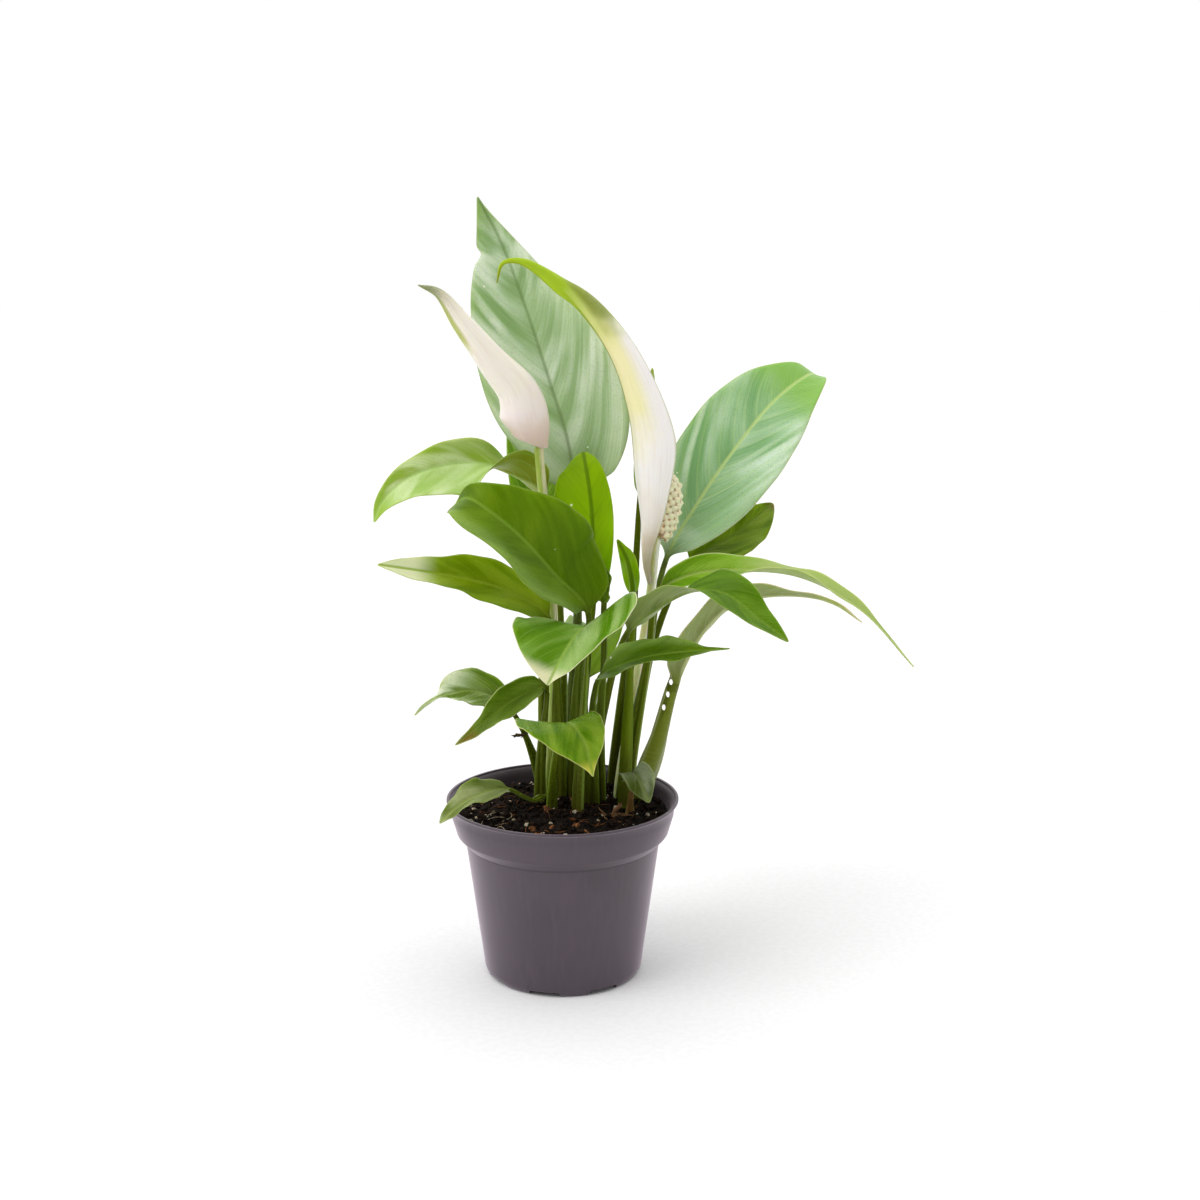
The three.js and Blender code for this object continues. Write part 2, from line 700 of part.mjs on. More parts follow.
// The spathe is a single bract that is cupped round the spadix on top of the stalk.
function buildFlower(options) {
  const { name, base, stalk, spadix, spadixRadius, spathe } = options;
  const stalkCurve = stemCurve(base, stalk);
  const stalkRings = [];
  for (let row = 0; row <= STALK_ROWS; row += 1) {
    const share = row / STALK_ROWS;
    const radius = lerp(STALK_RADIUS, STALK_TOP_RADIUS, share);
    stalkRings.push(stemRing(frameAt(stalkCurve, share, FRONT), radius, radius, STALK_COLUMNS));
  }
  const bract = { ...SPATHE_DEFAULTS, ...spathe };
  const bractCurve = new THREE.CatmullRomCurve3(bract.points.map(vector), false, 'centripetal');
  return {
    hole: stemHole(stalkCurve, STALK_RADIUS),
    meshes: [
      loft(`${name}_stalk`, stalkRings, STALK_GREEN()),
      loft(`${name}_spathe`, bladeRings(bract, bractCurve, 0), SPATHE_CREAM()),
      buildSpadix(`${name}_spadix`, spadix, spadixRadius),
    ],
  };
}

// A blunt finger whose rows of small florets stand out as staggered bumps.
function buildSpadix(name, points, thickest) {
  const curve = new THREE.CatmullRomCurve3(points.map(vector));
  const rings = [];
  for (let row = 0; row <= SPADIX_ROWS; row += 1) {
    const share = row / SPADIX_ROWS;
    const fromFullest = Math.abs(share - SPADIX_FULLEST) / (1 - SPADIX_FULLEST);
    const radius = thickest * Math.sqrt(1 - (SPADIX_BLUNTNESS * fromFullest) ** 4);
    const frame = frameAt(curve, share, FRONT);
    rings.push(stemRing(frame, radius, radius, SPADIX_COLUMNS).map((point, i) => {
      const floret = (row + i) % 2 === 0 ? 1 : SPADIX_DIMPLE;
      return frame.origin.clone().lerp(point, floret);
    }));
  }
  return loft(name, rings, SPADIX_CREAM());
}

// What is left of an old leaf: a short dry stem end.
function buildStub(name) {
  const curve = stemCurve(STUB_BASE, STUB_POINTS);
  const rings = [];
  for (let row = 0; row <= STUB_ROWS; row += 1) {
    const share = row / STUB_ROWS;
    const thinner = STUB_RADIUS * lerp(1, STUB_TIP_SHARE, share);
    rings.push(stemRing(frameAt(curve, share, FRONT), STUB_RADIUS, thinner, STALK_COLUMNS));
  }
  return { mesh: loft(name, rings, DRY_STEM()), hole: stemHole(curve, STUB_RADIUS) };
}

// base, stalk: like a leaf's base and petiole. spathe.points: its midrib from the stalk to the tip.
// faces: where the hollow side of the spathe looks on the way.
const FLOWERS = [
  {
    name: 'flower_right',
    base: [22, 10],
    stalk: [[30, 11, 120], [34, 10, 148], [36, 6, 170]],
    spadix: [[37.1, 6.2, 171.3], [40.8, 9.8, 179], [42.8, 11.8, 188], [41.8, 12.8, 197]],
    spadixRadius: 3.6,
    spathe: {
      points: [[32.3, 6.5, 156], [32.4, 2.8, 170], [31.4, 1.6, 178], [30, 0.5, 195], [28.4, -1, 214],
        [21.8, -5, 237], [11, -11, 255.5], [0.5, -16, 267], [-13, -20, 275], [-20, -22, 274],
        [-22, -22, 267]],
      faces: [[0.75, 0.65, 0], [0.75, 0.65, 0], [0.6, 0.6, -0.5], [0.3, 0.4, -0.8]],
      halfWidths: [13.5, 13.5],
      widest: [0.36, 0.36],
      round: 1.1,
      cup: 95,
      footWidth: 3.4,
    },
  },
  {
    name: 'flower_left',
    base: [-5, 8],
    stalk: [[-3, 5, 120], [-5, 4, 165], [-8, 2, 200], [-8.5, 2, 209]],
    spadix: [[-8.5, 1.8, 210], [-9.5, 1, 217], [-13, 0, 225]],
    spadixRadius: 2,
    spathe: {
      points: [[-5.8, 0.9, 206], [-5.4, -0.6, 214], [-7, -2, 223], [-11, -3, 231], [-21, -5, 241],
        [-33, -7, 254], [-43, -9, 264], [-51, -10, 266]],
      faces: [[-0.9, 0.4, 0.1], [-0.8, 0.4, -0.5], [-0.6, 0.3, -0.8], [-0.2, 0.2, -1]],
      halfWidths: [9.5, 9.5],
      widest: [0.2, 0.2],
      round: 0.8,
      cup: 160,
      footWidth: 18.5,
    },
  },
];

// ---------------------------------------------------------------- the part
const plant = new THREE.Group();
const leaves = LEAVES.map(buildLeaf);
const stub = buildStub('dry_leaf_stub');
const flowers = FLOWERS.map(buildFlower);
plant.add(buildPot());
plant.add(buildSoil([...leaves, stub, ...flowers].map(({ hole }) => hole)));
plant.add(...leaves.map(({ mesh }) => mesh), stub.mesh);
plant.add(...flowers.flatMap(({ meshes }) => meshes));

export default plant;
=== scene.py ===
"""A potted peace lily: its leaves, flowers, pot and peat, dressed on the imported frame.

Sizes are in millimetres until a mesh is made, and in the frame's metres from there on.
+Z is up, -Y is the front of the plant, and +X is its right side.
"""

import logging
from contextlib import contextmanager
from dataclasses import dataclass
from enum import Enum
from functools import cache
from typing import Iterator

import bpy
import numpy as np
from mathutils import Matrix, Vector, noise


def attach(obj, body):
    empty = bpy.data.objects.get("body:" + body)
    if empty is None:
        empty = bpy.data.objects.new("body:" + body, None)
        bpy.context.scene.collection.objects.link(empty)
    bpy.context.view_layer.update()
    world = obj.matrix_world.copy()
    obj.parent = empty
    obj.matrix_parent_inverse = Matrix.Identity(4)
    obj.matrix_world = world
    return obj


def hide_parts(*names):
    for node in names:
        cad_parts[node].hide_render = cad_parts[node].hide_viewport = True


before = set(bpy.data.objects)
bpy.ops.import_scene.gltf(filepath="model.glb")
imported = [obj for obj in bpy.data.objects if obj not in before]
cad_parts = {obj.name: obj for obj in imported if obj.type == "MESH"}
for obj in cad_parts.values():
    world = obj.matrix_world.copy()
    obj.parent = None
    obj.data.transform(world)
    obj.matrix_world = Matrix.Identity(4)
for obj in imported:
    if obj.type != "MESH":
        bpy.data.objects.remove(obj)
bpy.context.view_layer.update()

LOG = logging.getLogger("peace_lily")
BODY = "root"
MM = 0.001

# Peat: the frame's mound, which every stem starts in.
COLLAR_FOOT_RADIUS = 41.4
SOIL_EDGE_HEIGHT = 63.5
SOIL_MOUND = 4.5
SOIL_CLOD_HEIGHT = 0.9
SOIL_RIPPLES = ((0.31, 0.27, 0.9, 0.5), (0.31, -0.27, 0.9, 0.5), (0.23, -0.41, 2.0, 0.7))
HOLE_DEPTH = 9.0
STRAIGHT_RISE = 3.0

Point = tuple[float, float, float]
Socket = bpy.types.NodeSocket


# ---------------------------------------------------------------- surfaces
def linear(colour: int) -> tuple[float, float, float, float]:
    """Turns an sRGB colour into the linear one that a shader takes.

    Args:
        colour: The colour as 0xRRGGBB.

    Returns:
        Red, green and blue, and an alpha of 1.
    """
    shares = [((colour >> shift) & 255) / 255 for shift in (16, 8, 0)]
    red, green, blue = (c / 12.92 if c <= 0.04045 else ((c + 0.055) / 1.055) ** 2.4 for c in shares)
    return red, green, blue, 1.0


@dataclass(frozen=True)
class Coat:
    """A colour that covers a surface where a value passes from one limit to another.

    bare is the value at which none of it shows, and full the value at which all its share shows.
    """

    colour: int
    value: Socket
    bare: float
    full: float
    share: float | Socket = 1.0


class Nodes:
    """A node tree while it is put together."""

    def __init__(self, tree: bpy.types.NodeTree) -> None:
        """Takes the tree that the nodes go into."""
        self.tree = tree

    def add(self, kind: str, inputs: dict | None = None, out: int | str = 0, **settings: object) -> Socket:
        """Adds a node with its settings and links.

        Args:
            kind: The node's type, without its first word.
            inputs: A value or a socket for each input, by name or number.
            out: Which output to return.
            **settings: The node's own properties.

        Returns:
            The output socket.
        """
        made = self.tree.nodes.new("ShaderNode" + kind)
        for name, value in settings.items():
            setattr(made, name, value)
        for key, value in (inputs or {}).items():
            if isinstance(value, Socket):
                self.tree.links.new(value, made.inputs[key])
            else:
                made.inputs[key].default_value = value
        return made.outputs[out]


class Surface(Nodes):
    """A material while it is put together."""

    def __init__(self, name: str) -> None:
        """Starts a material.

        Args:
            name: The material's name.
        """
        self.material = bpy.data.materials.new(name)
        self.material.use_nodes = True
        super().__init__(self.material.node_tree)
        self.shader = self.tree.nodes["Principled BSDF"]

    def readings(self, *names: str) -> list[Socket]:
        """Returns a socket for each value of that name that is kept on the mesh."""
        return [self.add("Attribute", out="Fac", attribute_name=name) for name in names]

    def paint(self, under: int | Socket, *coats: Coat) -> Socket:
        """Lays coats of colour over each other.

        Args:
            under: The colour below them all.
            *coats: The coats, the lowest first.

        Returns:
            The colour that shows.
        """
        colour = linear(under) if isinstance(under, int) else under
        for coat in coats:
            limits = {"Value": coat.value, "From Min": coat.bare, "From Max": coat.full, "To Max": coat.share}
            share = self.add("MapRange", limits, interpolation_type="SMOOTHSTEP")
            layers = {0: share, 6: colour, 7: linear(coat.colour)}
            colour = self.add("Mix", layers, out=2, data_type="RGBA")
        return colour

    def finish(self, colour: Socket, roughness: float | Socket, relief: Socket | None = None,
               depth: float = 0.0, **constants: float | tuple) -> bpy.types.Material:
        """Joins colour, roughness and relief to the shader.

        Args:
            colour: The base colour.
            roughness: A number, or a socket.
            relief: The height of the fine relief, from 0 to 1.
            depth: How many millimetres high 1 stands over 0.
            **constants: The shader's other inputs, with _ for a space.

        Returns:
            The finished material.
        """
        self.tree.links.new(colour, self.shader.inputs["Base Color"])
        if isinstance(roughness, Socket):
            self.tree.links.new(roughness, self.shader.inputs["Roughness"])
        else:
            self.shader.inputs["Roughness"].default_value = roughness
        if relief is not None:
            bump = self.add("Bump", {"Height": relief, "Distance": depth * MM, "Strength": 1.0}, out=0)
            self.tree.links.new(bump, self.shader.inputs["Normal"])
        for name, value in constants.items():
            self.shader.inputs[name.replace("_", " ")].default_value = value
        return self.material


# ---------------------------------------------------------------- finishes
@dataclass(frozen=True)
class LeafFinish:
    """Living leaf: a waxy skin over soft tissue, which gives a soft sheen and lets light through.
    Much of that sheen is painted into the colour, as pale patches and streaks.

    contrast is how much the dark streaks show, and veins how much the side veins do.
    flank_tone_and_sheen is a colour that covers the blade on one side of the line across at
    flank_from, up to flank_to, both from -1 at the left edge to 1 at the right. On most leaves
    it is a painted sheen, and on the arching leaf the olive of its far half. relief is how high
    the fine veins stand, in millimetres, and gleam is the tint of the shine.
    """

    name: str
    blade: int = 0x648A14
    streak: int = 0x466C04
    sheen: int = 0x9CB46A
    sheen_share: float = 0.5
    contrast: float = 0.6
    veins: float = 0.35
    rib: int = 0x90A848
    rib_share: float = 0.8
    edge: int = 0xBEC488
    edge_share: float = 0.45
    tip: int = 0xA0A850
    tip_from: float = 0.9
    flank_tone_and_sheen: int = 0x648A14
    flank_from: float = 0.0
    flank_to: float = 0.1
    flank_share: float = 0.0
    underside: int = 0x708440
    stem: int = 0x566410
    foot: int = 0x4C4C16
    gloss: float = 0.34
    glow: float = 0.25
    relief: float = 0.08
    gleam: int = 0xECF288
    glint: int = 0xF2F4E4

    @cache
    def material(self) -> bpy.types.Material:
        """Builds the skin: streaks and veins that sweep from the midrib to a thin pale edge.

        Returns:
            The material. It reads the values that Leaf keeps on its mesh.
        """
        s = Surface(self.name)
        across, along, upper, rib, edge, vein = s.readings(
            "across", "along", "upper", "rib_mm", "edge_mm", "vein_mm")
        place = s.add("TexCoord", out="Object")
        swept = s.add("CombineXYZ", {"X": vein, "Y": across})
        # Soft bands are about 13 mm wide and run out along the veins, with finer ones in them.
        bands = s.add("Mapping", {"Vector": swept, "Scale": (1 / 13, 0.9, 1.0)})
        streaks = s.add("TexNoise", {"Vector": bands, "Scale": 1.0, "Detail": 1.5})
        threads = s.add("Mapping", {"Vector": swept, "Scale": (1 / 2.2, 1.6, 1.0)})
        fine = s.add("TexNoise", {"Vector": threads, "Scale": 1.0, "Detail": 2.0})
        patches = s.add("TexNoise", {"Vector": place, "Scale": 1 / (30 * MM), "Detail": 2.0})
        mottle = s.add("TexNoise", {"Vector": place, "Scale": 1 / (1.0 * MM), "Detail": 2.0})
        # Painted highlights: white glints about 0.6 mm wide, 13 mm apart.
        glints = s.add("TexVoronoi", {"Vector": place, "Scale": 1 / (13 * MM)})
        # Main veins are 8 mm apart, and the fine ones, drawn coarser than they are, 2 mm.
        main = s.add("Math", {0: vein, 1: 4.0}, operation="PINGPONG")
        minor = s.add("Math", {0: vein, 1: 1.0}, operation="PINGPONG")
        inside = s.add("MapRange", {"Value": edge, "From Min": 0.2, "From Max": 2.5})
        # Painted sheen: pale patches and fine streaks of the sheen colour stand in for light that the waxy
        # skin reflects.
        shine = s.add("MapRange", {"Value": streaks, "From Min": 0.36, "From Max": 0.66,
                                   "To Max": self.sheen_share}, interpolation_type="SMOOTHSTEP")
        top = s.paint(
            self.blade,
            # Painted sheen on one side of the blade, except on the arching leaf, where this is the olive of
            # its far half.
            Coat(self.flank_tone_and_sheen, across, self.flank_from, self.flank_to, self.flank_share),
            Coat(self.streak, streaks, 0.60, 0.30, self.contrast),
            Coat(self.streak, fine, 0.56, 0.32, 0.32 * self.contrast),
            Coat(self.sheen, patches, 0.34, 0.62, shine),
            Coat(self.sheen, fine, 0.50, 0.74, 0.2 * self.sheen_share),
            Coat(self.streak, minor, 0.45, 0.0, 0.35 * self.veins),
            Coat(self.rib, main, 0.9, 0.1, self.veins),
            Coat(self.streak, mottle, 0.52, 0.72, 0.22),
        )
        below = s.paint(
            self.underside,
            Coat(self.streak, streaks, 0.60, 0.30, 0.35),
            Coat(self.streak, fine, 0.5, 0.3, 0.3),
            Coat(self.rib, main, 0.8, 0.1, 0.1 + self.veins),
        )
        blade = s.add("Mix", {0: upper, 6: below, 7: top}, out=2, data_type="RGBA")
        blade = s.paint(
            blade,
            Coat(self.tip, along, self.tip_from, min(1.0, self.tip_from + 0.16)),
            Coat(self.rib, rib, 1.0, 0.3, self.rib_share),
            Coat(self.edge, edge, 0.55, 0.12, self.edge_share),
            # Painted highlights: the small white glints.
            Coat(self.glint, glints, 0.045, 0.03, 0.7),
        )
        wing = s.add("Math", {0: across}, operation="ABSOLUTE")
        stem = s.paint(
            self.foot,
            Coat(self.stem, along, -0.98, -0.55),
            Coat(self.streak, fine, 0.5, 0.3, 0.3),
            Coat(self.rib, wing, 0.86, 0.99, 0.55),
        )
        onward = s.add("MapRange", {"Value": along, "From Min": -0.02, "From Max": 0.09},
                       interpolation_type="SMOOTHSTEP")
        colour = s.add("Mix", {0: onward, 6: stem, 7: blade}, out=2, data_type="RGBA")
        rough = s.add("MapRange", {"Value": mottle, "From Min": 0.3, "From Max": 0.7,
                                   "To Min": self.gloss - 0.04, "To Max": self.gloss + 0.10})
        relief = s.add("Math", {0: minor, 1: inside}, operation="MULTIPLY")
        return s.finish(colour, rough, relief, self.relief, Specular_IOR_Level=0.22,
                        Specular_Tint=linear(self.gleam), Subsurface_Weight=self.glow,
                        Subsurface_Scale=1.5 * MM, Subsurface_Radius=(0.7, 1.0, 0.2))


class Green(Enum):
    """How each leaf looks, by its age and by the way that it takes the light, which is partly painted into
    the colours as sheen.
    """

    # The silvery leaves' pale greys are painted sheen: light that the waxy skin reflects, laid into the
    # colour.
    SILVER_TALL = LeafFinish(
        "leaf_tall_painted_sheen", 0xA0B886, 0x78985A, 0xD4DECC, 0.95, 0.7, veins=0.10, gleam=0xFFFFFF,
        # The dark rib colour is painted shade along the midrib's groove.
        rib=0x64803E, rib_share=0.5, edge=0xA4AE86, tip=0x8AA65C, tip_from=0.84, flank_tone_and_sheen=0xC6D2B8,
        flank_from=0.1, flank_to=0.8, flank_share=0.55, underside=0x8E9E74, gloss=0.36)
    SILVER_BROAD = LeafFinish(
        "leaf_broad_painted_sheen", 0x94B884, 0x66965A, 0xC8DAC6, 0.9, 0.65, veins=0.25, gleam=0xFFFFFF,
        rib=0xB8CC80, edge=0xC4C49C, tip=0x84B052, tip_from=0.66, flank_tone_and_sheen=0xA4B896, flank_from=0.6,
        flank_to=1.0, flank_share=0.5, underside=0x86986A, gloss=0.34)
    SILVER_SMALL = LeafFinish(
        "leaf_small_painted_sheen", 0x809A2C, 0x547014, 0xE2EAD0, 1.0, 0.8, veins=0.08, rib=0x8CA050,
        edge=0xB0B890, tip=0xF4F6E2, tip_from=0.66, underside=0x9EAC78, gloss=0.24)
    DARK = LeafFinish(
        "leaf_dark_mature", 0x567800, 0x3C5A00, 0x7E981E, 0.35, 0.4, veins=0.1, rib=0x74942C,
        edge=0x9CA85C, edge_share=0.3, tip=0x7C7A34, tip_from=0.95, flank_tone_and_sheen=0x94AC60, flank_from=-0.4,
        flank_to=-0.95, flank_share=0.6, underside=0x60782A, stem=0x4C5C0E, relief=0.04)
    MID = LeafFinish("leaf_mid_mature")
    # Its pale tip colour is a painted highlight.
    LANCE = LeafFinish(
        "leaf_olive_narrow", 0x748E02, 0x566E00, 0xA0B034, 0.5, 0.5, veins=0.15, rib=0x8AA028,
        edge=0xA4AE64, tip=0xD2D6B0, tip_from=0.66, underside=0x6C7E30, relief=0.05)
    # Its pale near half is painted sheen; the olive on the far half is its own colour.
    ARCHING = LeafFinish(
        "leaf_arching_painted_sheen", 0xACC878, 0x84A83C, 0xD0DEB0, 0.7, 0.5, veins=0.16, rib=0xB4CC7C,
        rib_share=0.5, flank_tone_and_sheen=0x8C9C24, flank_from=0.04, flank_to=0.14, flank_share=0.85, edge=0xB4BE74,
        tip=0x94B444, tip_from=0.80, underside=0x8A9424, relief=0.04)
    FRESH = LeafFinish(
        "leaf_fresh_pale_edged", 0x5E8A0A, 0x406C02, 0xAEC480, 0.65, 0.6, veins=0.15, rib=0x8CA848,
        edge=0xDCDAB4, edge_share=0.8, tip=0xD6D4AE, tip_from=0.76, underside=0x748A44)
    YELLOWING = LeafFinish(
        "leaf_yellow_tipped", 0x5C8604, 0x426A00, 0xA0B840, 0.5, 0.55, veins=0.12, rib=0x84A038,
        edge=0xC8CA80, edge_share=0.7, tip=0xC6C24E, tip_from=0.78, underside=0x6E8438, gloss=0.25)
    GLOWING = LeafFinish(
        "leaf_young_translucent", 0x8AAC00, 0x6A8C00, 0xA0BA10, 0.3, 0.35, veins=0.02, rib=0x4E7000,
        edge=0xB4C450, tip=0x9CB42C, tip_from=0.95, underside=0x88B000, stem=0x60740C, gloss=0.42,
        glow=0.35, relief=0.02)
    FOLDED = LeafFinish(
        "leaf_pale_backed", 0x50780A, 0x3A5C00, 0x8CA83C, 0.35, 0.5, veins=0.1, rib=0x7C9838,
        rib_share=0.4, edge=0xA8B070, tip=0x5A7C14, tip_from=0.9, underside=0x8E9C5C)
    # Its pale outer part, in the tip colour, is painted sheen.
    LONG = LeafFinish(
        "leaf_long_painted_sheen_end", 0x6E9A0C, 0x4E7800, 0x9AB450, 0.4, 0.5, veins=0.1, rib=0x98AE58,
        edge=0xC2CA90, edge_share=0.7, tip=0x98AA5C, tip_from=0.26, underside=0xA0AA72)
    ARCH_BACK = LeafFinish(
        "leaf_grey_backed", 0x98A866, 0x74863C, 0xC0C89C, 0.6, 0.4, veins=0.1, rib=0xB8BE8C,
        edge=0xDCCDB0, edge_share=0.9, tip=0x9EAA58, tip_from=0.7, underside=0x929C68, stem=0x6C7820,
        foot=0x5C6418)
    LOW_DARK = LeafFinish(
        "leaf_low_dark", 0x4E6A06, 0x364E00, 0x7C9240, 0.35, 0.6, veins=0.1, rib=0x647C24,
        rib_share=0.5, edge=0xACB47C, edge_share=0.6, tip=0x6A5618, tip_from=0.72, underside=0x5C6E28)
    BROWN_TIPPED = LeafFinish(
        "leaf_brown_tipped", 0x6C8A04, 0x4C6600, 0x94A430, 0.5, 0.8, veins=0.15, rib=0x748A30,
        edge=0xA09C64, tip=0x7A5830, tip_from=0.90, underside=0x647834)
    # Its pale silvery band is painted sheen.
    BANDED = LeafFinish(
        "leaf_small_painted_sheen_band", 0x4C5E1E, 0x38480E, 0xB0B898, 0.6, 0.7, veins=0.1, rib=0x7C8850,
        edge=0x8C9468, tip=0x707A3C, flank_tone_and_sheen=0xB4B8A0, flank_from=0.1, flank_to=-0.5, flank_share=0.55,
        underside=0x646C40, stem=0x7A5C34, foot=0x8A5C38)
    DULL = LeafFinish(
        "leaf_dull_low", 0x70803C, 0x4E5E1C, 0xA4AA80, 0.6, 0.6, veins=0.12, rib=0x8C9A54,
        edge=0x949C68, tip=0x9CA678, tip_from=0.84, underside=0x6E7A44, gloss=0.42)


@dataclass(frozen=True)
class SpatheFinish:
    """Bract tissue: thick, matte and cream, and green where it is youngest.

    The upper colour lies on the half to the right of half_from, and the rim's colour to the right
    of line_from, both from -1 at the left edge to 1 at the right. The rim's colour also lies in a
    blot on the left half, at the share blot_at of the length.
    """

    name: str
    foot: int
    middle: int
    upper: int
    tip: int
    rim: int
    upper_from: float
    tip_from: float
    half_from: float
    line_from: float
    rim_from: float
    blot_at: float
    blot_length: float

    @cache
    def material(self) -> bpy.types.Material:
        """Builds the cream skin, its green end and its fine lengthwise veins.

        Returns:
            The material. It reads the values that Flower keeps on its spathe.
        """
        s = Surface(self.name)
        across, along, edge, row = s.readings("across", "along", "edge_mm", "vein_mm")
        place = s.add("TexCoord", out="Object")
        cloud = s.add("TexNoise", {"Vector": place, "Scale": 1 / (14 * MM), "Detail": 2.0})
        drift = s.add("Math", {0: cloud, 1: 0.2, 2: along}, operation="MULTIPLY_ADD")
        # Lengthwise veins lie about 1.4 mm apart.
        veins = s.add("Math", {0: row, 1: 0.7}, operation="PINGPONG")
        lines = s.add("CombineXYZ", {"X": row, "Y": s.add("Math", {0: along, 1: 6.0}, operation="MULTIPLY")})
        streaks = s.add("TexNoise", {"Vector": lines, "Scale": 0.7, "Detail": 3.0})
        half = s.add("MapRange", {"Value": across, "From Min": self.half_from,
                                  "From Max": self.half_from + 0.5}, interpolation_type="SMOOTHSTEP")
        line = s.add("MapRange", {"Value": across, "From Min": self.line_from,
                                  "From Max": self.line_from + 0.12, "To Max": 0.9})
        off = s.add("Math", {0: s.add("Math", {0: drift, 1: self.blot_at + 0.1}, operation="SUBTRACT")},
                    operation="ABSOLUTE")
        blotted = s.add("MapRange", {"Value": across, "From Min": 0.1, "From Max": -0.3, "To Max": 0.75},
                        interpolation_type="SMOOTHSTEP")
        colour = s.paint(
            self.foot,
            Coat(self.middle, drift, 0.14, 0.34),
            Coat(self.upper, drift, self.upper_from, self.upper_from + 0.16, half),
            Coat(self.foot, streaks, 0.52, 0.32, 0.2),
            Coat(self.rim, drift, self.rim_from, self.rim_from + 0.2, line),
            Coat(self.tip, drift, self.tip_from, self.tip_from + 0.26),
            Coat(self.rim, off, self.blot_length, 0.0, blotted),
            Coat(self.rim, streaks, 0.55, 0.75, 0.08),
            Coat(self.rim, edge, 0.8, 0.2, 0.5),
        )
        return s.finish(colour, 0.46, veins, 0.08, IOR=1.42, Subsurface_Weight=0.4,
                        Subsurface_Scale=2.5 * MM, Subsurface_Radius=(1.0, 0.8, 0.5))


class Bract(Enum):
    """The two spathes: one has opened, and one is still rolled up."""

    OPEN = SpatheFinish(
        "spathe_cream_green_tipped", 0xE4D0BC, 0xFFF6F2, 0xF8EEBC, 0xA4C400, 0x768410,
        upper_from=0.40, tip_from=0.66, half_from=-0.75, line_from=0.25, rim_from=0.32,
        blot_at=0.73, blot_length=0.10)
    ROLLED = SpatheFinish(
        "spathe_cream_rolled", 0xE2C8BA, 0xFCEAE2, 0xFCF0E0, 0x8A9468, 0xA8B450,
        upper_from=0.30, tip_from=0.84, half_from=-0.4, line_from=0.58, rim_from=0.62,
        blot_at=0.92, blot_length=0.04)


@dataclass(frozen=True)
class StemFinish:
    """Stem tissue: a smooth fibrous skin with one lighter side."""

    name: str
    left: int
    right: int
    fibre: int
    roughness: float = 0.42
    glow: float = 0.2

    @cache
    def material(self) -> bpy.types.Material:
        """Builds a skin with lengthwise fibres.

        Returns:
            The material. It reads the values that the stems keep on their meshes.
        """
        s = Surface(self.name)
        (across,) = s.readings("across")
        place = s.add("TexCoord", out="Object")
        # Fibres are drawn 0.8 mm apart, coarser than they are, and run up the stem.
        drawn = s.add("Mapping", {"Vector": place, "Scale": (1.0, 1.0, 0.05)})
        fibres = s.add("TexNoise", {"Vector": drawn, "Scale": 1 / (0.8 * MM), "Detail": 2.0})
        blots = s.add("TexNoise", {"Vector": place, "Scale": 1 / (6 * MM), "Detail": 2.0})
        colour = s.paint(
            self.left,
            Coat(self.right, across, -0.1, 0.5),
            Coat(self.fibre, fibres, 0.50, 0.72, 0.5),
            Coat(self.fibre, blots, 0.55, 0.75, 0.4),
        )
        return s.finish(colour, self.roughness, fibres, 0.08, IOR=1.45,
                        Subsurface_Weight=self.glow, Subsurface_Scale=1.5 * MM)


class Stem(Enum):
    """The stems that carry no blade, and the dry threads on the peat."""

    FLOWER = StemFinish("flower_stalk_fibrous", 0xA9BE4E, 0xE3DFB4, 0x8CA43C)
    PALE = StemFinish("flower_stalk_pale", 0xE6ECA8, 0xFFFDEC, 0xD4DC90, 0.42, 0.4)
    DRY = StemFinish("dry_leaf_base_papery", 0x7E5834, 0x90704C, 0x4C341C, 0.75, 0.0)
    ROOT = StemFinish("root_thread_dry", 0xC9B79A, 0xD8CBB2, 0x9A8468, 0.8, 0.0)


@dataclass(frozen=True)
class GrainFinish:
    """A loose grain, or a matte skin of many grains: uneven in colour, and dull."""

    name: str
    light: int
    dark: int
    fleck: int
    grain: float
    roughness: float
    relief: float = 0.1
    glow: float = 0.0

    @cache
    def material(self) -> bpy.types.Material:
        """Builds the mottled skin.

        Returns:
            The material, in Object coordinates.
        """
        s = Surface(self.name)
        place = s.add("TexCoord", out="Object")
        blots = s.add("TexNoise", {"Vector": place, "Scale": 1 / (self.grain * MM), "Detail": 4.0})
        specks = s.add("TexNoise", {"Vector": place, "Scale": 4 / (self.grain * MM), "Detail": 2.0})
        colour = s.paint(
            self.dark,
            Coat(self.light, blots, 0.42, 0.62),
            Coat(self.fleck, specks, 0.60, 0.70, 0.7),
        )
        return s.finish(colour, self.roughness, specks, self.relief, Specular_IOR_Level=0.15,
                        Subsurface_Weight=self.glow, Subsurface_Scale=1.0 * MM)


class Grain(Enum):
    """The peat, and what lies loose on it."""

    PEAT = GrainFinish("peat_moist_fibrous", 0x1C120C, 0x0A0604, 0x33231A, 2.4, 0.95, 0.3)
    CRUMB = GrainFinish("peat_crumb", 0x25180F, 0x0E0906, 0x3E2B1C, 3.0, 0.95, 0.2)
    PERLITE = GrainFinish("perlite_expanded_glass", 0xD8CDB4, 0xA89C84, 0xECE6D6, 1.5, 0.8, 0.15, 0.2)
    SHRED = GrainFinish("dead_sheath_fibre", 0x4E4020, 0x2A200E, 0x6E6034, 2.0, 0.9, 0.1)
    BARK = GrainFinish("pine_bark_chip", 0x8A5830, 0x4A2C18, 0xA87848, 2.0, 0.85, 0.2)


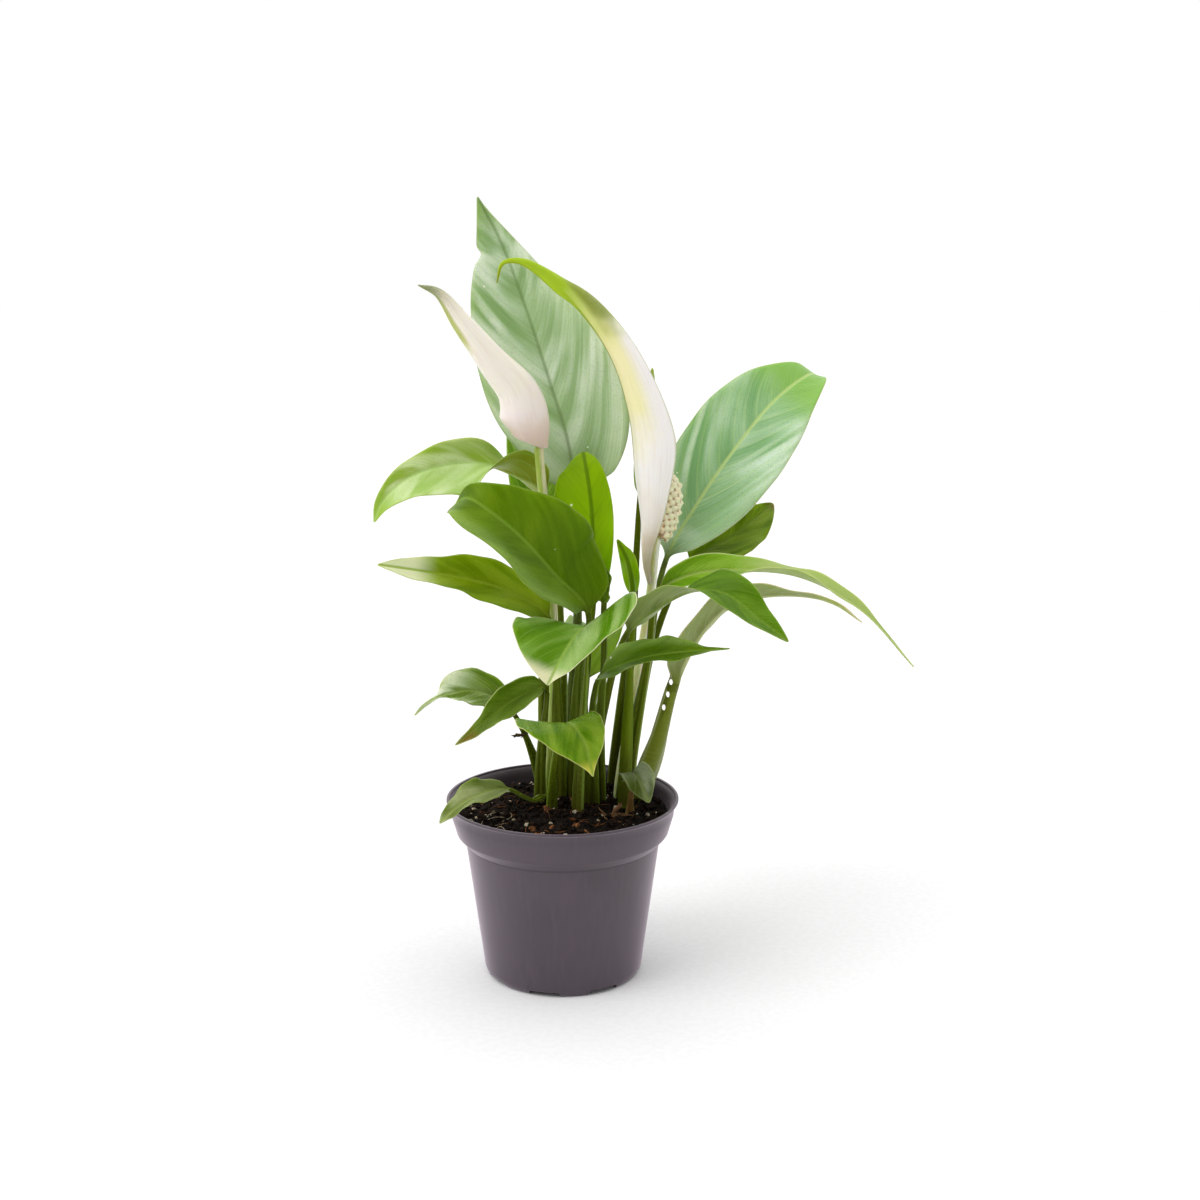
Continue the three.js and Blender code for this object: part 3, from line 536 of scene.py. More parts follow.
@dataclass(frozen=True)
class FloretFinish:
    """Waxy florets: cream knobs with greenish tips, and a beige painted shade in the gaps between them."""

    name: str = "spadix_floret_waxy"
    gap: int = 0xCFA67C
    knob: int = 0xFFF2CE
    tip: int = 0xF6F6C0

    @cache
    def material(self) -> bpy.types.Material:
        """Builds the waxy skin, with painted shade low between the florets, so that it is paler the higher it
        stands.

        Returns:
            The material. It reads the rise that Spadix keeps on its mesh.
        """
        s = Surface(self.name)
        (rise,) = s.readings("rise")
        place = s.add("TexCoord", out="Object")
        blots = s.add("TexNoise", {"Vector": place, "Scale": 1 / (2.5 * MM), "Detail": 2.0})
        # Painted shade: the beige gap colour lies low on each floret and gives way to cream as it rises; its
        # blots are mottling.
        colour = s.paint(
            self.gap,
            Coat(self.knob, rise, 0.1, 0.55),
            Coat(self.tip, rise, 0.75, 1.0, 0.8),
            Coat(self.gap, blots, 0.52, 0.68, 0.4),
        )
        return s.finish(colour, 0.5, blots, 0.05, Subsurface_Weight=0.4, Subsurface_Scale=1.5 * MM)


@dataclass(frozen=True)
class PotFinish:
    """Thin injection-moulded polypropylene: smooth and satin, with faint upright drag lines.

    Each pair of heights, in millimetres, runs from where a colour is weakest to where it is
    strongest. The middle of the collar's wall lies at the radius wall_middle, and wall_lean further
    out for each millimetre of height.
    """

    name: str = "pot_polypropylene_moulded"
    body: int = 0x3F343E
    cloud: int = 0x4A3E48
    dust: int = 0x6A5E66
    crease_shade: int = 0x2A2229
    crease_shade_height: float = 53.5
    step_shade_foot: tuple[float, float] = (53.1, 53.6)
    step_shade_top: tuple[float, float] = (58.0, 56.0)
    inner_dark: int = 0x1F1713
    inner_dark_foot: tuple[float, float] = (57.0, 57.8)
    inner_dark_top: tuple[float, float] = (69.5, 64.0)
    wall_lean: float = 0.136
    wall_middle: float = 33.1

    @cache
    def material(self) -> bpy.types.Material:
        """Builds the satin plastic: barely clouded, finely drawn and a little dusty, with painted shade on
        its step and a dark brown inside to its collar.

        Returns:
            The material, in Object coordinates.
        """
        s = Surface(self.name)
        place = s.add("TexCoord", out="Object")
        clouds = s.add("TexNoise", {"Vector": place, "Scale": 1 / (30 * MM), "Detail": 2.0})
        drawn = s.add("Mapping", {"Vector": place, "Scale": (1.0, 1.0, 0.04)})
        drag = s.add("TexNoise", {"Vector": drawn, "Scale": 1 / (2.4 * MM), "Detail": 2.0})
        specks = s.add("TexNoise", {"Vector": place, "Scale": 1 / (0.7 * MM), "Detail": 1.0})
        height = s.add("SeparateXYZ", {"Vector": place}, out="Z")
        above = s.add("Math", {0: height, 1: self.crease_shade_height * MM}, operation="SUBTRACT")
        off = s.add("Math", {0: above}, operation="ABSOLUTE")
        flat = s.add("Mapping", {"Vector": place, "Scale": (1.0, 1.0, 0.0)})
        radius = s.add("VectorMath", {0: flat}, out="Value", operation="LENGTH")
        inward = s.add("Math", {0: height, 1: -self.wall_lean, 2: radius}, operation="MULTIPLY_ADD")
        # Painted shade: the slanting step is darker than the wall, most of all in the corner at its foot.
        (low, high), (top, full) = self.step_shade_foot, self.step_shade_top
        step = s.add("MapRange", {"Value": height, "From Min": low * MM, "From Max": high * MM,
                                  "To Max": 0.8})
        # The inside of the collar is painted dark brown, most of all low down, where the peat lies against
        # it.
        (foot, foot_full), (rim, rim_full) = self.inner_dark_foot, self.inner_dark_top
        collar = s.add("MapRange", {"Value": height, "From Min": foot * MM, "From Max": foot_full * MM})
        inner_darkness = s.add("MapRange", {"Value": height, "From Min": rim * MM, "From Max": rim_full * MM,
                                     "To Min": 0.3, "To Max": 0.92}, interpolation_type="SMOOTHSTEP")
        inner_darkness = s.add("Math", {0: inner_darkness, 1: collar}, operation="MULTIPLY")
        # A moulded skin is faintly pitted, here about 0.7 mm apart, coarser than it is.
        colour = s.paint(
            self.body,
            Coat(self.cloud, clouds, 0.35, 0.70, 0.6),
            Coat(self.cloud, drag, 0.46, 0.72, 0.5),
            Coat(self.dust, specks, 0.70, 0.82, 0.2),
            # Painted shade on the step, darkest at its foot.
            Coat(self.crease_shade, height, top * MM, full * MM, step),
            Coat(self.crease_shade, off, 1.2 * MM, 0.2 * MM, 0.8),
            Coat(self.inner_dark, inward, (self.wall_middle + 0.2) * MM, (self.wall_middle - 0.2) * MM, inner_darkness),
        )
        rough = s.add("MapRange", {"Value": clouds, "From Min": 0.3, "From Max": 0.7,
                                   "To Min": 0.42, "To Max": 0.5})
        return s.finish(colour, rough, specks, 0.012, Specular_IOR_Level=0.6, Sheen_Weight=0.7,
                        Sheen_Roughness=0.35, Sheen_Tint=linear(0xFFEAFB))


@dataclass(frozen=True)
class PaperFinish:
    """Matte white paper, which the pot stands on."""

    name: str = "studio_paper_matte"
    tone: int = 0xEDEDED
    fleck: int = 0xEAEAEA

    @cache
    def material(self) -> bpy.types.Material:
        """Builds the paper's skin, which has a barely visible grain.

        Returns:
            The material, in Object coordinates.
        """
        s = Surface(self.name)
        grain = s.add("TexNoise", {"Vector": s.add("TexCoord", out="Object"), "Scale": 400.0})
        return s.finish(s.paint(self.tone, Coat(self.fleck, grain, 0.4, 0.6)), 0.9)


# ---------------------------------------------------------------- lines and skins
def blended(directions: tuple[Point, ...], shares: np.ndarray) -> np.ndarray:
    """Blends directions that are given at equal steps.

    Args:
        directions: Two or more directions.
        shares: Where to read them, from 0 to 1.

    Returns:
        One direction for each share.
    """
    steps = np.linspace(0, 1, len(directions))
    given = np.array(directions, float)
    return np.stack([np.interp(shares, steps, given[:, axis]) for axis in range(3)], axis=-1)


def unit(vectors: np.ndarray) -> np.ndarray:
    """Returns vectors of length 1 in the same directions."""
    return vectors / np.maximum(np.linalg.norm(vectors, axis=-1, keepdims=True), 1e-9)


def smooth(values: np.ndarray, low: float, high: float) -> np.ndarray:
    """Returns a soft step from 0 at the low value to 1 at the high one."""
    share = np.clip((np.asarray(values, float) - low) / (high - low), 0, 1)
    return share * share * (3 - 2 * share)


def soil_height(x: np.ndarray | float, y: np.ndarray | float) -> np.ndarray | float:
    """Works out the height of the peat's mound and clods at a place.

    Args:
        x: How far right of the pot's middle it is.
        y: How far behind the pot's middle it is.

    Returns:
        The height over the floor, in millimetres.
    """
    mound = SOIL_MOUND * (1 - (x * x + y * y) / COLLAR_FOOT_RADIUS ** 2)
    clods = sum(share * np.sin(ax * x + ay * y + start) for ax, ay, start, share in SOIL_RIPPLES)
    return SOIL_EDGE_HEIGHT + mound + SOIL_CLOD_HEIGHT * clods


class Route:
    """A smooth line through points, walked by the share of its length."""

    STEPS = 60

    def __init__(self, points: np.ndarray) -> None:
        """Draws a centripetal curve.

        Args:
            points: The points that it passes through.
        """
        given = np.array(points, float)
        before, after = 2 * given[:1] - given[1:2], 2 * given[-1:] - given[-2:-1]
        knots = np.vstack((before, given, after))
        spans = [self._span(knots[i:i + 4]) for i in range(len(given) - 1)]
        self.line = np.vstack((*spans, given[-1:]))
        self.walked = np.append(0, np.cumsum(np.linalg.norm(np.diff(self.line, axis=0), axis=1)))
        self.slopes = np.gradient(self.line, self.walked, axis=0)
        self.length = float(self.walked[-1])

    @classmethod
    def from_soil(cls, base: tuple[float, float], points: tuple[Point, ...]) -> "Route":
        """Starts a line in the peat, straight up.

        Args:
            base: Where it leaves the peat.
            points: The points that it passes through above that.

        Returns:
            The line.
        """
        ground = soil_height(*base)
        return cls([(*base, ground - HOLE_DEPTH), (*base, ground + STRAIGHT_RISE), *points])

    def _span(self, four: np.ndarray) -> np.ndarray:
        """Draws the stretch between the two middle points of four.

        Args:
            four: The points.

        Returns:
            The points of the stretch, without its last one.
        """
        step = np.arange(self.STEPS)[:, None] / self.STEPS
        chords = np.diff(four, axis=0)
        gaps = np.sqrt(np.linalg.norm(chords, axis=1))
        rates = chords / gaps[:, None]
        leave = (rates[0] - (chords[0] + chords[1]) / (gaps[0] + gaps[1]) + rates[1]) * gaps[1]
        arrive = (rates[1] - (chords[1] + chords[2]) / (gaps[1] + gaps[2]) + rates[2]) * gaps[1]
        square = 3 * chords[1] - 2 * leave - arrive
        cube = leave + arrive - 2 * chords[1]
        return four[1] + leave * step + square * step ** 2 + cube * step ** 3

    def share_of(self, number: int) -> float:
        """Returns the share of the length that lies before the point of that number."""
        return float(self.walked[self.STEPS * number] / self.length)

    def axes(self, shares: np.ndarray, faces: np.ndarray) -> tuple[np.ndarray, np.ndarray, np.ndarray]:
        """Stands a frame on the line at each share.

        Args:
            shares: Places along the length, from 0 to 1.
            faces: Where the upper side looks at each of them.

        Returns:
            The origins, and the directions across to the right and up.
        """
        at = np.asarray(shares) * self.length
        origin = np.stack([np.interp(at, self.walked, self.line[:, i]) for i in range(3)], axis=-1)
        forward = unit(np.stack([np.interp(at, self.walked, self.slopes[:, i]) for i in range(3)], axis=-1))
        up = unit(faces - forward * np.sum(faces * forward, axis=-1, keepdims=True))
        return origin, np.cross(forward, up), up


def select_only(*pieces: bpy.types.Object) -> None:
    """Selects pieces and nothing else, and makes the first of them active.

    Args:
        *pieces: The objects.
    """
    bpy.ops.object.select_all(action="DESELECT")
    for piece in pieces:
        piece.select_set(True)
    bpy.context.view_layer.objects.active = pieces[0]


@contextmanager
def editing(made: bpy.types.Object, chosen: np.ndarray | None = None) -> Iterator[None]:
    """Opens a mesh in edit mode with chosen vertices selected, and closes it again.

    Args:
        made: The mesh object.
        chosen: True for each vertex to select. All are selected if it is left out.

    Yields:
        Nothing.
    """
    select_only(made)
    bpy.context.tool_settings.mesh_select_mode = (True, False, False)
    bpy.ops.object.mode_set(mode="EDIT")
    bpy.ops.mesh.select_all(action="SELECT" if chosen is None else "DESELECT")
    if chosen is not None:
        bpy.ops.object.mode_set(mode="OBJECT")
        made.data.vertices.foreach_set("select", chosen)
        bpy.ops.object.mode_set(mode="EDIT")
    yield
    bpy.ops.object.mode_set(mode="OBJECT")


def join(first: bpy.types.Object, others: list[bpy.types.Object]) -> bpy.types.Object:
    """Joins objects into the first one.

    Args:
        first: The object that takes in the others.
        others: The objects that it takes in.

    Returns:
        The first object.
    """
    select_only(first, *others)
    bpy.ops.object.join()
    return first


def shaped_by(made: bpy.types.Object, kind: str, **settings: object) -> None:
    """Adds a modifier to an object and applies it.

    Args:
        made: The object.
        kind: The modifier's type.
        **settings: Its properties.
    """
    modifier = made.modifiers.new("shape", kind)
    for name, value in settings.items():
        setattr(modifier, name, value)
    select_only(made)
    bpy.ops.object.modifier_apply(modifier=modifier.name)


def placed_copy(model: bpy.types.Object, place: Matrix) -> bpy.types.Object:
    """Copies a model to a place, with a mesh of its own.

    Args:
        model: The object to copy.
        place: Where the copy goes, how it is turned and how large it is.

    Returns:
        The copy.
    """
    copy = model.copy()
    copy.data = model.data.copy()
    copy.data.transform(place)
    bpy.context.scene.collection.objects.link(copy)
    return copy


def places_of(made: bpy.types.Object) -> np.ndarray:
    """Reads where a mesh's vertices are.

    Args:
        made: The mesh object.

    Returns:
        Their places, in millimetres.
    """
    flat = np.empty(3 * len(made.data.vertices), np.float32)
    made.data.vertices.foreach_get("co", flat)
    return flat.reshape(-1, 3).astype(float) / MM


def move_to(made: bpy.types.Object, places: np.ndarray) -> None:
    """Puts a mesh's vertices at places in millimetres."""
    made.data.vertices.foreach_set("co", (places * MM).astype(np.float32).ravel())
    made.data.update()


def rolled_skin(name: str, rings: np.ndarray, readings: dict[str, np.ndarray]) -> bpy.types.Object:
    """Rolls a grid up into a closed skin whose last ring runs to a point.

    Args:
        name: The object's name.
        rings: Rows of points round the piece, from its foot to its tip.
        readings: Values to keep on the mesh, one for each point.

    Returns:
        The object.
    """
    rows, count = rings.shape[:2]
    bpy.ops.object.select_all(action="DESELECT")
    bpy.ops.mesh.primitive_grid_add(x_subdivisions=count, y_subdivisions=rows - 1, size=MM)
    skin = bpy.context.object
    skin.name = skin.data.name = name
    closed = np.concatenate((rings, rings[:, :1]), axis=1)
    move_to(skin, closed.reshape(-1, 3))
    for label, values in readings.items():
        reading = skin.data.attributes.new(label, "FLOAT", "POINT")
        kept = np.broadcast_to(values, (rows, count))
        looped = np.concatenate((kept, kept[:, :1]), axis=1)
        reading.data.foreach_set("value", looped.astype(np.float32).ravel())
    tip = np.zeros(closed.shape[:2], bool)
    tip[-1] = True
    with editing(skin, tip.ravel()):
        bpy.ops.mesh.merge(type="CENTER")
        bpy.ops.mesh.select_all(action="SELECT")
        bpy.ops.mesh.remove_doubles(threshold=1e-6)
        bpy.ops.mesh.fill_holes(sides=0)
        bpy.ops.mesh.normals_make_consistent(inside=False)
    bpy.ops.object.shade_smooth()
    return skin


def ring_turns(columns: int) -> np.ndarray:
    """Returns the turn of each point of a ring, from the left and over the top."""
    return np.pi - 2 * np.pi * np.arange(columns) / columns


def tube_rings(route: Route, radii: np.ndarray, columns: int, ridge: float = 0.0) -> np.ndarray:
    """Stands round rings along a line, seen from the front of the plant.

    Args:
        route: The line.
        radii: The radius at each of equal steps along it.
        columns: How many points a ring has.
        ridge: How far shallow lengthwise ridges stand out, as a share of the radius.

    Returns:
        The rings.
    """
    shares = np.linspace(0, 1, len(radii))
    origin, across, up = route.axes(shares, np.tile((0.0, -1.0, 0.0), (len(radii), 1)))
    turn = ring_turns(columns)
    reach = radii[:, None] * (1 + ridge * np.sin(7 * turn) * np.sin(2 * turn + 6 * shares[:, None]))
    return (origin[:, None] + across[:, None] * (reach * np.cos(turn))[..., None]
            + up[:, None] * (reach * np.sin(turn))[..., None])


def show(piece: bpy.types.Object, finish: Enum | PotFinish | FloretFinish, slot: str,
         *nodes: str) -> bpy.types.Object:
    """Dresses a finished piece, and puts it on the plant.

    Args:
        piece: The finished object.
        finish: What its surface is.
        slot: The record's material slot. It is not used.
        *nodes: The frame's nodes that it stands for.

    Returns:
        The piece.
    """
    dress = finish.value if isinstance(finish, Enum) else finish
    piece.data.materials.clear()
    piece.data.materials.append(dress.material())
    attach(piece, BODY)
    if nodes:
        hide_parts(*nodes)
    LOG.info("%s: %d faces, %s", piece.name, len(piece.data.polygons), dress.name)
    return piece


# ---------------------------------------------------------------- blades
@dataclass(frozen=True, kw_only=True)
class Sheet:
    """A thin blade round a midrib, which a leaf's blade and a spathe both are.

    Each pair has a value for the left half and one for the right half.
    """

    faces: tuple[Point, ...]
    half_widths: tuple[float, float]
    widest: tuple[float, float] = (0.4, 0.4)
    rounding: float = 0.62
    foot_width: float = 0.8
    fold: float = 12.0
    cup: float = 14.0
    wave: float = 1.2
    waves: float = 2.0
    phase: float = 0.0
    ruffle: float = 0.35
    nick_side: int = 0
    nick_at: float = 0.8
    nick_depth: float = 0.0
    tail_from: float = 0.7
    tail_slimming: float = 0.0

    TIP_HALF_WIDTH = 0.3
    SIDE_PHASE = 0.35
    RUFFLES_PER_WAVE = 2.7
    NICK_LENGTH = 0.022
    TAIL_TAKES = 0.14

    def outline(self, shares: np.ndarray, side: int) -> np.ndarray:
        """Draws a half that is rounded at the base and drawn out to the tip.

        Args:
            shares: Places along the blade, from 0 to 1.
            side: 0 for the left half, and 1 for the right one.

        Returns:
            The half width, as a share of the widest.
        """
        widest = self.widest[side]
        taper = self.rounding * (1 - widest) / widest
        return (shares / widest) ** self.rounding * ((1 - shares) / (1 - widest)) ** taper

    def half_width(self, shares: np.ndarray, side: int) -> np.ndarray:
        """Draws a half with its nick and its slim tail, if it has them.

        Args:
            shares: Places along the blade, from 0 to 1.
            side: 0 for the left half, and 1 for the right one.

        Returns:
            The half width, in millimetres.
        """
        foot = self.foot_width + (self.TIP_HALF_WIDTH - self.foot_width) * shares
        nick = self.nick_depth * np.exp(-((shares - self.nick_at) / self.NICK_LENGTH) ** 2)
        tail = self.tail_slimming * smooth(shares, self.tail_from, self.tail_from + self.TAIL_TAKES)
        cut = tail + nick * (side == self.nick_side)
        return self.half_widths[side] * self.outline(shares, side) * (1 - cut) + foot

    def reach(self, shares: np.ndarray, q: np.ndarray) -> np.ndarray:
        """Returns the half width for each share and each place across."""
        left, right = (self.half_width(shares, side)[:, None] for side in (0, 1))
        return np.where(q < 0, left, right)

    def middle(self, route: Route, start: float, shares: np.ndarray, q: np.ndarray) -> np.ndarray:
        """Lays out the blade's middle surface.

        Args:
            route: The line of the whole stem and blade.
            start: The share of the line at which the blade starts.
            shares: Places along the blade, from 0 to 1.
            q: Places across it, from -1 at the left edge to 1 at the right one.

        Returns:
            A grid of points.
        """
        origin, across, up = route.axes(start + (1 - start) * shares, blended(self.faces, shares))
        bend, fold = np.radians(self.cup), np.radians(self.fold)
        spread, lift = np.sin(bend * np.abs(q)) / bend, (1 - np.cos(bend * q)) / bend
        half = self.reach(shares, q)
        turns = self.waves * shares[:, None] + self.phase + self.SIDE_PHASE * (q >= 0)
        swing = np.sin(np.pi * shares)[:, None]
        ruffle = self.ruffle * np.sin(2 * np.pi * (self.RUFFLES_PER_WAVE * turns + 0.3))
        ripple = q ** 2 * np.sin(2 * np.pi * turns) + q ** 6 * ruffle
        outward = np.sign(q) * half * (spread * np.cos(fold) - lift * np.sin(fold))
        raised = half * (spread * np.sin(fold) + lift * np.cos(fold)) + self.wave * swing * ripple
        return origin[:, None] + across[:, None] * outward[..., None] + up[:, None] * raised[..., None]

    def skin(self, grid: np.ndarray, above: np.ndarray, below: np.ndarray) -> np.ndarray:
        """Gives the middle surface its two sides.

        Args:
            grid: The middle surface.
            above: How far the upper side stands off it at each point.
            below: How far the lower side does.

        Returns:
            Rings round the blade: left to right over the top, and back below.
        """
        normal = unit(np.cross(np.gradient(grid, axis=1), np.gradient(grid, axis=0)))
        upper = grid + normal * above[..., None]
        lower = grid - normal * below[..., None]
        return np.concatenate((upper, lower[:, ::-1]), axis=1)


def places_across(half: np.ndarray) -> np.ndarray:
    """Mirrors the places on one half of a blade, from 0 to 1, to the other, as a row from -1 to 1."""
    return np.concatenate((-half[::-1], [0.0], half))[None]


def both_sides(upper: np.ndarray, lower: np.ndarray | None = None) -> np.ndarray:
    """Lays values for the upper side and the lower side out as a ring's."""
    under = upper if lower is None else lower
    return np.concatenate((upper, under[:, ::-1]), axis=1)


@dataclass(frozen=True, kw_only=True)
class Leaf(Sheet):
    """A leaf, in one piece: a sheathed stem, a neck, and a blade with a sunken midrib."""

    name: str
    slot: str
    finish: Green
    base: tuple[float, float]
    petiole: tuple[Point, ...]
    blade: tuple[Point, ...]
    stem: float = 2.1
    neck: float = 1.1
    sheath: float = 1.2
    flare: float = 0.0
    quilt: float = 0.3
    holes: tuple[Point, ...] = ()

    THICKNESS = 0.5
    EDGE_THICKNESS = 0.2
    STEM_ROW = 3.5
    BLADE_ROW = 1.3
    BROAD = 8.0
    CROWDING = 1.35
    OFF_THE_BLADE = 9.0
    MARKING_STEP = 37.7
    HOLE_RADIUS = 0.9
    DRILL_LENGTH = 24.0
    DRILL_TILT = 73.0
    DRILL_SHAPE = (0.8, 1.3, 1.0)
    MAIN_VEIN = 8.0
    VEIN_LEAN = 1.1
    VEIN_SWEEP = 1.0

    def build(self, number: int) -> bpy.types.Object:
        """Builds the leaf and dresses it.

        Args:
            number: The leaf's place in the list, which makes its markings its own.

        Returns:
            The leaf.
        """
        route = Route.from_soil(self.base, (*self.petiole, *self.blade))
        start = route.share_of(1 + len(self.petiole))
        steps = 14 if max(self.half_widths) > self.BROAD else 10
        q = places_across((np.arange(1, steps + 1) / steps) ** self.CROWDING)
        stem_rings, stem_shares = self._stem(route, start, q)
        blade_rings, values = self._blade(route, start, q)
        rows = len(stem_shares)
        count = 2 * q.shape[1]
        on_stem = np.ones((rows, count))
        along = np.concatenate((on_stem * (stem_shares[:, None] - 1), values["along"]))
        readings = {"along": along, "across": np.tile(both_sides(q), (len(along), 1))}
        readings["upper"] = np.tile(both_sides(np.ones_like(q), np.zeros_like(q)), (len(along), 1))
        readings["rib_mm"] = np.concatenate((on_stem * self.OFF_THE_BLADE, values["rib_mm"]))
        readings["edge_mm"] = np.concatenate((on_stem * self.OFF_THE_BLADE, values["edge_mm"]))
        climb = stem_shares[:, None] * start * route.length
        veins = np.concatenate((on_stem * climb, values["vein_mm"]))
        readings["vein_mm"] = veins + self.MARKING_STEP * number
        made = rolled_skin(self.name + "_fine", np.concatenate((stem_rings, blade_rings)), readings)
        if self.holes:
            self._pierce(made)
        return show(made, self.finish, self.slot, self.name)

    def _pierce(self, leaf: bpy.types.Object) -> None:
        """Cuts the small oval holes that have been eaten through the sheath.

        Args:
            leaf: The leaf's object.
        """
        drills = []
        for x, y, z in self.holes:
            bpy.ops.object.select_all(action="DESELECT")
            bpy.ops.mesh.primitive_cylinder_add(
                vertices=20, radius=self.HOLE_RADIUS * MM, depth=self.DRILL_LENGTH * MM,
                location=(x * MM, y * MM, z * MM), rotation=(np.radians(self.DRILL_TILT), 0, 0),
                scale=self.DRILL_SHAPE)
            drills.append(bpy.context.object)
        drill = join(drills[0], drills[1:])
        shaped_by(leaf, "BOOLEAN", operation="DIFFERENCE", solver="EXACT", object=drill)
        bpy.data.objects.remove(drill)

    def _stem(self, route: Route, start: float, q: np.ndarray) -> tuple[np.ndarray, np.ndarray]:
        """Lays out the stem: channelled above, with the two thin wings of a sheath at its foot.

        Args:
            route: The line of the whole leaf.
            start: The share of the line at which the blade starts.
            q: Places across, from -1 to 1.

        Returns:
            The rings, and the share of the stem at each.
        """
        rows = int(np.clip(route.length * start / self.STEM_ROW, 14, 44))
        shares = np.arange(rows) / rows
        faces = np.tile(np.array(self.faces[0], float), (rows, 1))
        origin, across, up = route.axes(shares * start, faces)
        height = (self.stem + (self.neck - self.stem) * shares)[:, None]
        width = height * (self.sheath + (1 - self.sheath) * shares)[:, None]
        width = width + self.flare * (smooth(shares, 0.1, 0.45) - 0.8 * smooth(shares, 0.5, 1.0))[:, None]
        return self._oval(origin, across, up, width, height, q, shares[:, None]), shares

    def _oval(self, origin: np.ndarray, across: np.ndarray, up: np.ndarray, width: np.ndarray,
              height: np.ndarray, q: np.ndarray, shares: np.ndarray) -> np.ndarray:
        """Draws a stem's rings, which have as many points as the blade's.

        Args:
            origin: The middle of each ring.
            across: The way to the right of each.
            up: The way up out of each.
            width: The half width of each.
            height: The half height of each.
            q: Places across, from -1 to 1.
            shares: How far up the stem each ring lies, from 0 to 1.

        Returns:
            The rings.
        """
        angle = np.radians(90 - 80 * q)
        sheathed = 1 - smooth(shares, 0.35, 0.75)
        channel = (0.35 + 0.3 * sheathed) * np.exp(-(q / 0.4) ** 2)
        wing = 1 + 0.5 * sheathed * np.abs(q) ** 6
        aside = both_sides(width * np.cos(angle) * wing)
        over, under = height * np.sin(angle) * (1 - channel), -height * np.sin(angle)
        rise = both_sides(over, under)
        return origin[:, None] + across[:, None] * aside[..., None] + up[:, None] * rise[..., None]

    def _blade(self, route: Route, start: float, q: np.ndarray) -> tuple[np.ndarray, dict[str, np.ndarray]]:
        """Lays out the blade, quilted between its veins, and grows it out of the stem's top.

        Args:
            route: The line of the whole leaf.
            start: The share of the line at which the blade starts.
            q: Places across, from -1 to 1.

        Returns:
            The rings, and the values to keep on them.
        """
        length = route.length * (1 - start)
        rows = int(np.clip(length / self.BLADE_ROW, 30, 100))
        shares = (1 - np.cos(np.pi * np.linspace(0, 1, rows + 1))) / 2
        shares = 0.35 * np.linspace(0, 1, rows + 1) + 0.65 * shares
        half = self.reach(shares, q)
        out = np.abs(q) * half
        swept = self.VEIN_LEAN * out + self.VEIN_SWEEP * out ** 2 / max(self.half_widths)
        vein = length * shares[:, None] - swept
        vein = vein + 0.9 * np.sin(vein / 3.3 + length)
        fade = smooth(out, 0.5, 3.0) * (1 - np.abs(q) ** 4) * smooth(half, 2, 9)
        pillow = np.abs(np.sin(np.pi * vein / self.MAIN_VEIN)) ** 0.8 - 0.6
        quilt = self.quilt * pillow * fade
        thin = self.EDGE_THICKNESS + (self.THICKNESS - self.EDGE_THICKNESS) * (1 - q ** 2)
        left = (1 - shares)[:, None]
        groove = 0.5 * left ** 0.6 * np.exp(-(out / 0.75) ** 2)
        ridge = (0.25 + 0.8 * self.neck * left ** 1.5) * left ** 0.3 * np.exp(
            -(out / (0.5 + 0.45 * self.neck * left)) ** 2)
        grid = self.middle(route, start, shares, q)
        rings = self.skin(grid, thin / 2 + quilt - groove, thin / 2 - quilt + ridge)
        origin, across, up = route.axes(start + (1 - start) * shares, blended(self.faces, shares))
        neck = np.full((len(shares), 1), self.neck)
        oval = self._oval(origin, across, up, neck, neck, q, np.ones_like(neck))
        grown = smooth(shares, 0.0, 0.07)[:, None, None]
        values = {"along": both_sides(np.broadcast_to(shares[:, None], out.shape)), "rib_mm": both_sides(out),
                  "edge_mm": both_sides(half - out), "vein_mm": both_sides(vein)}
        return oval * (1 - grown) + rings * grown, values


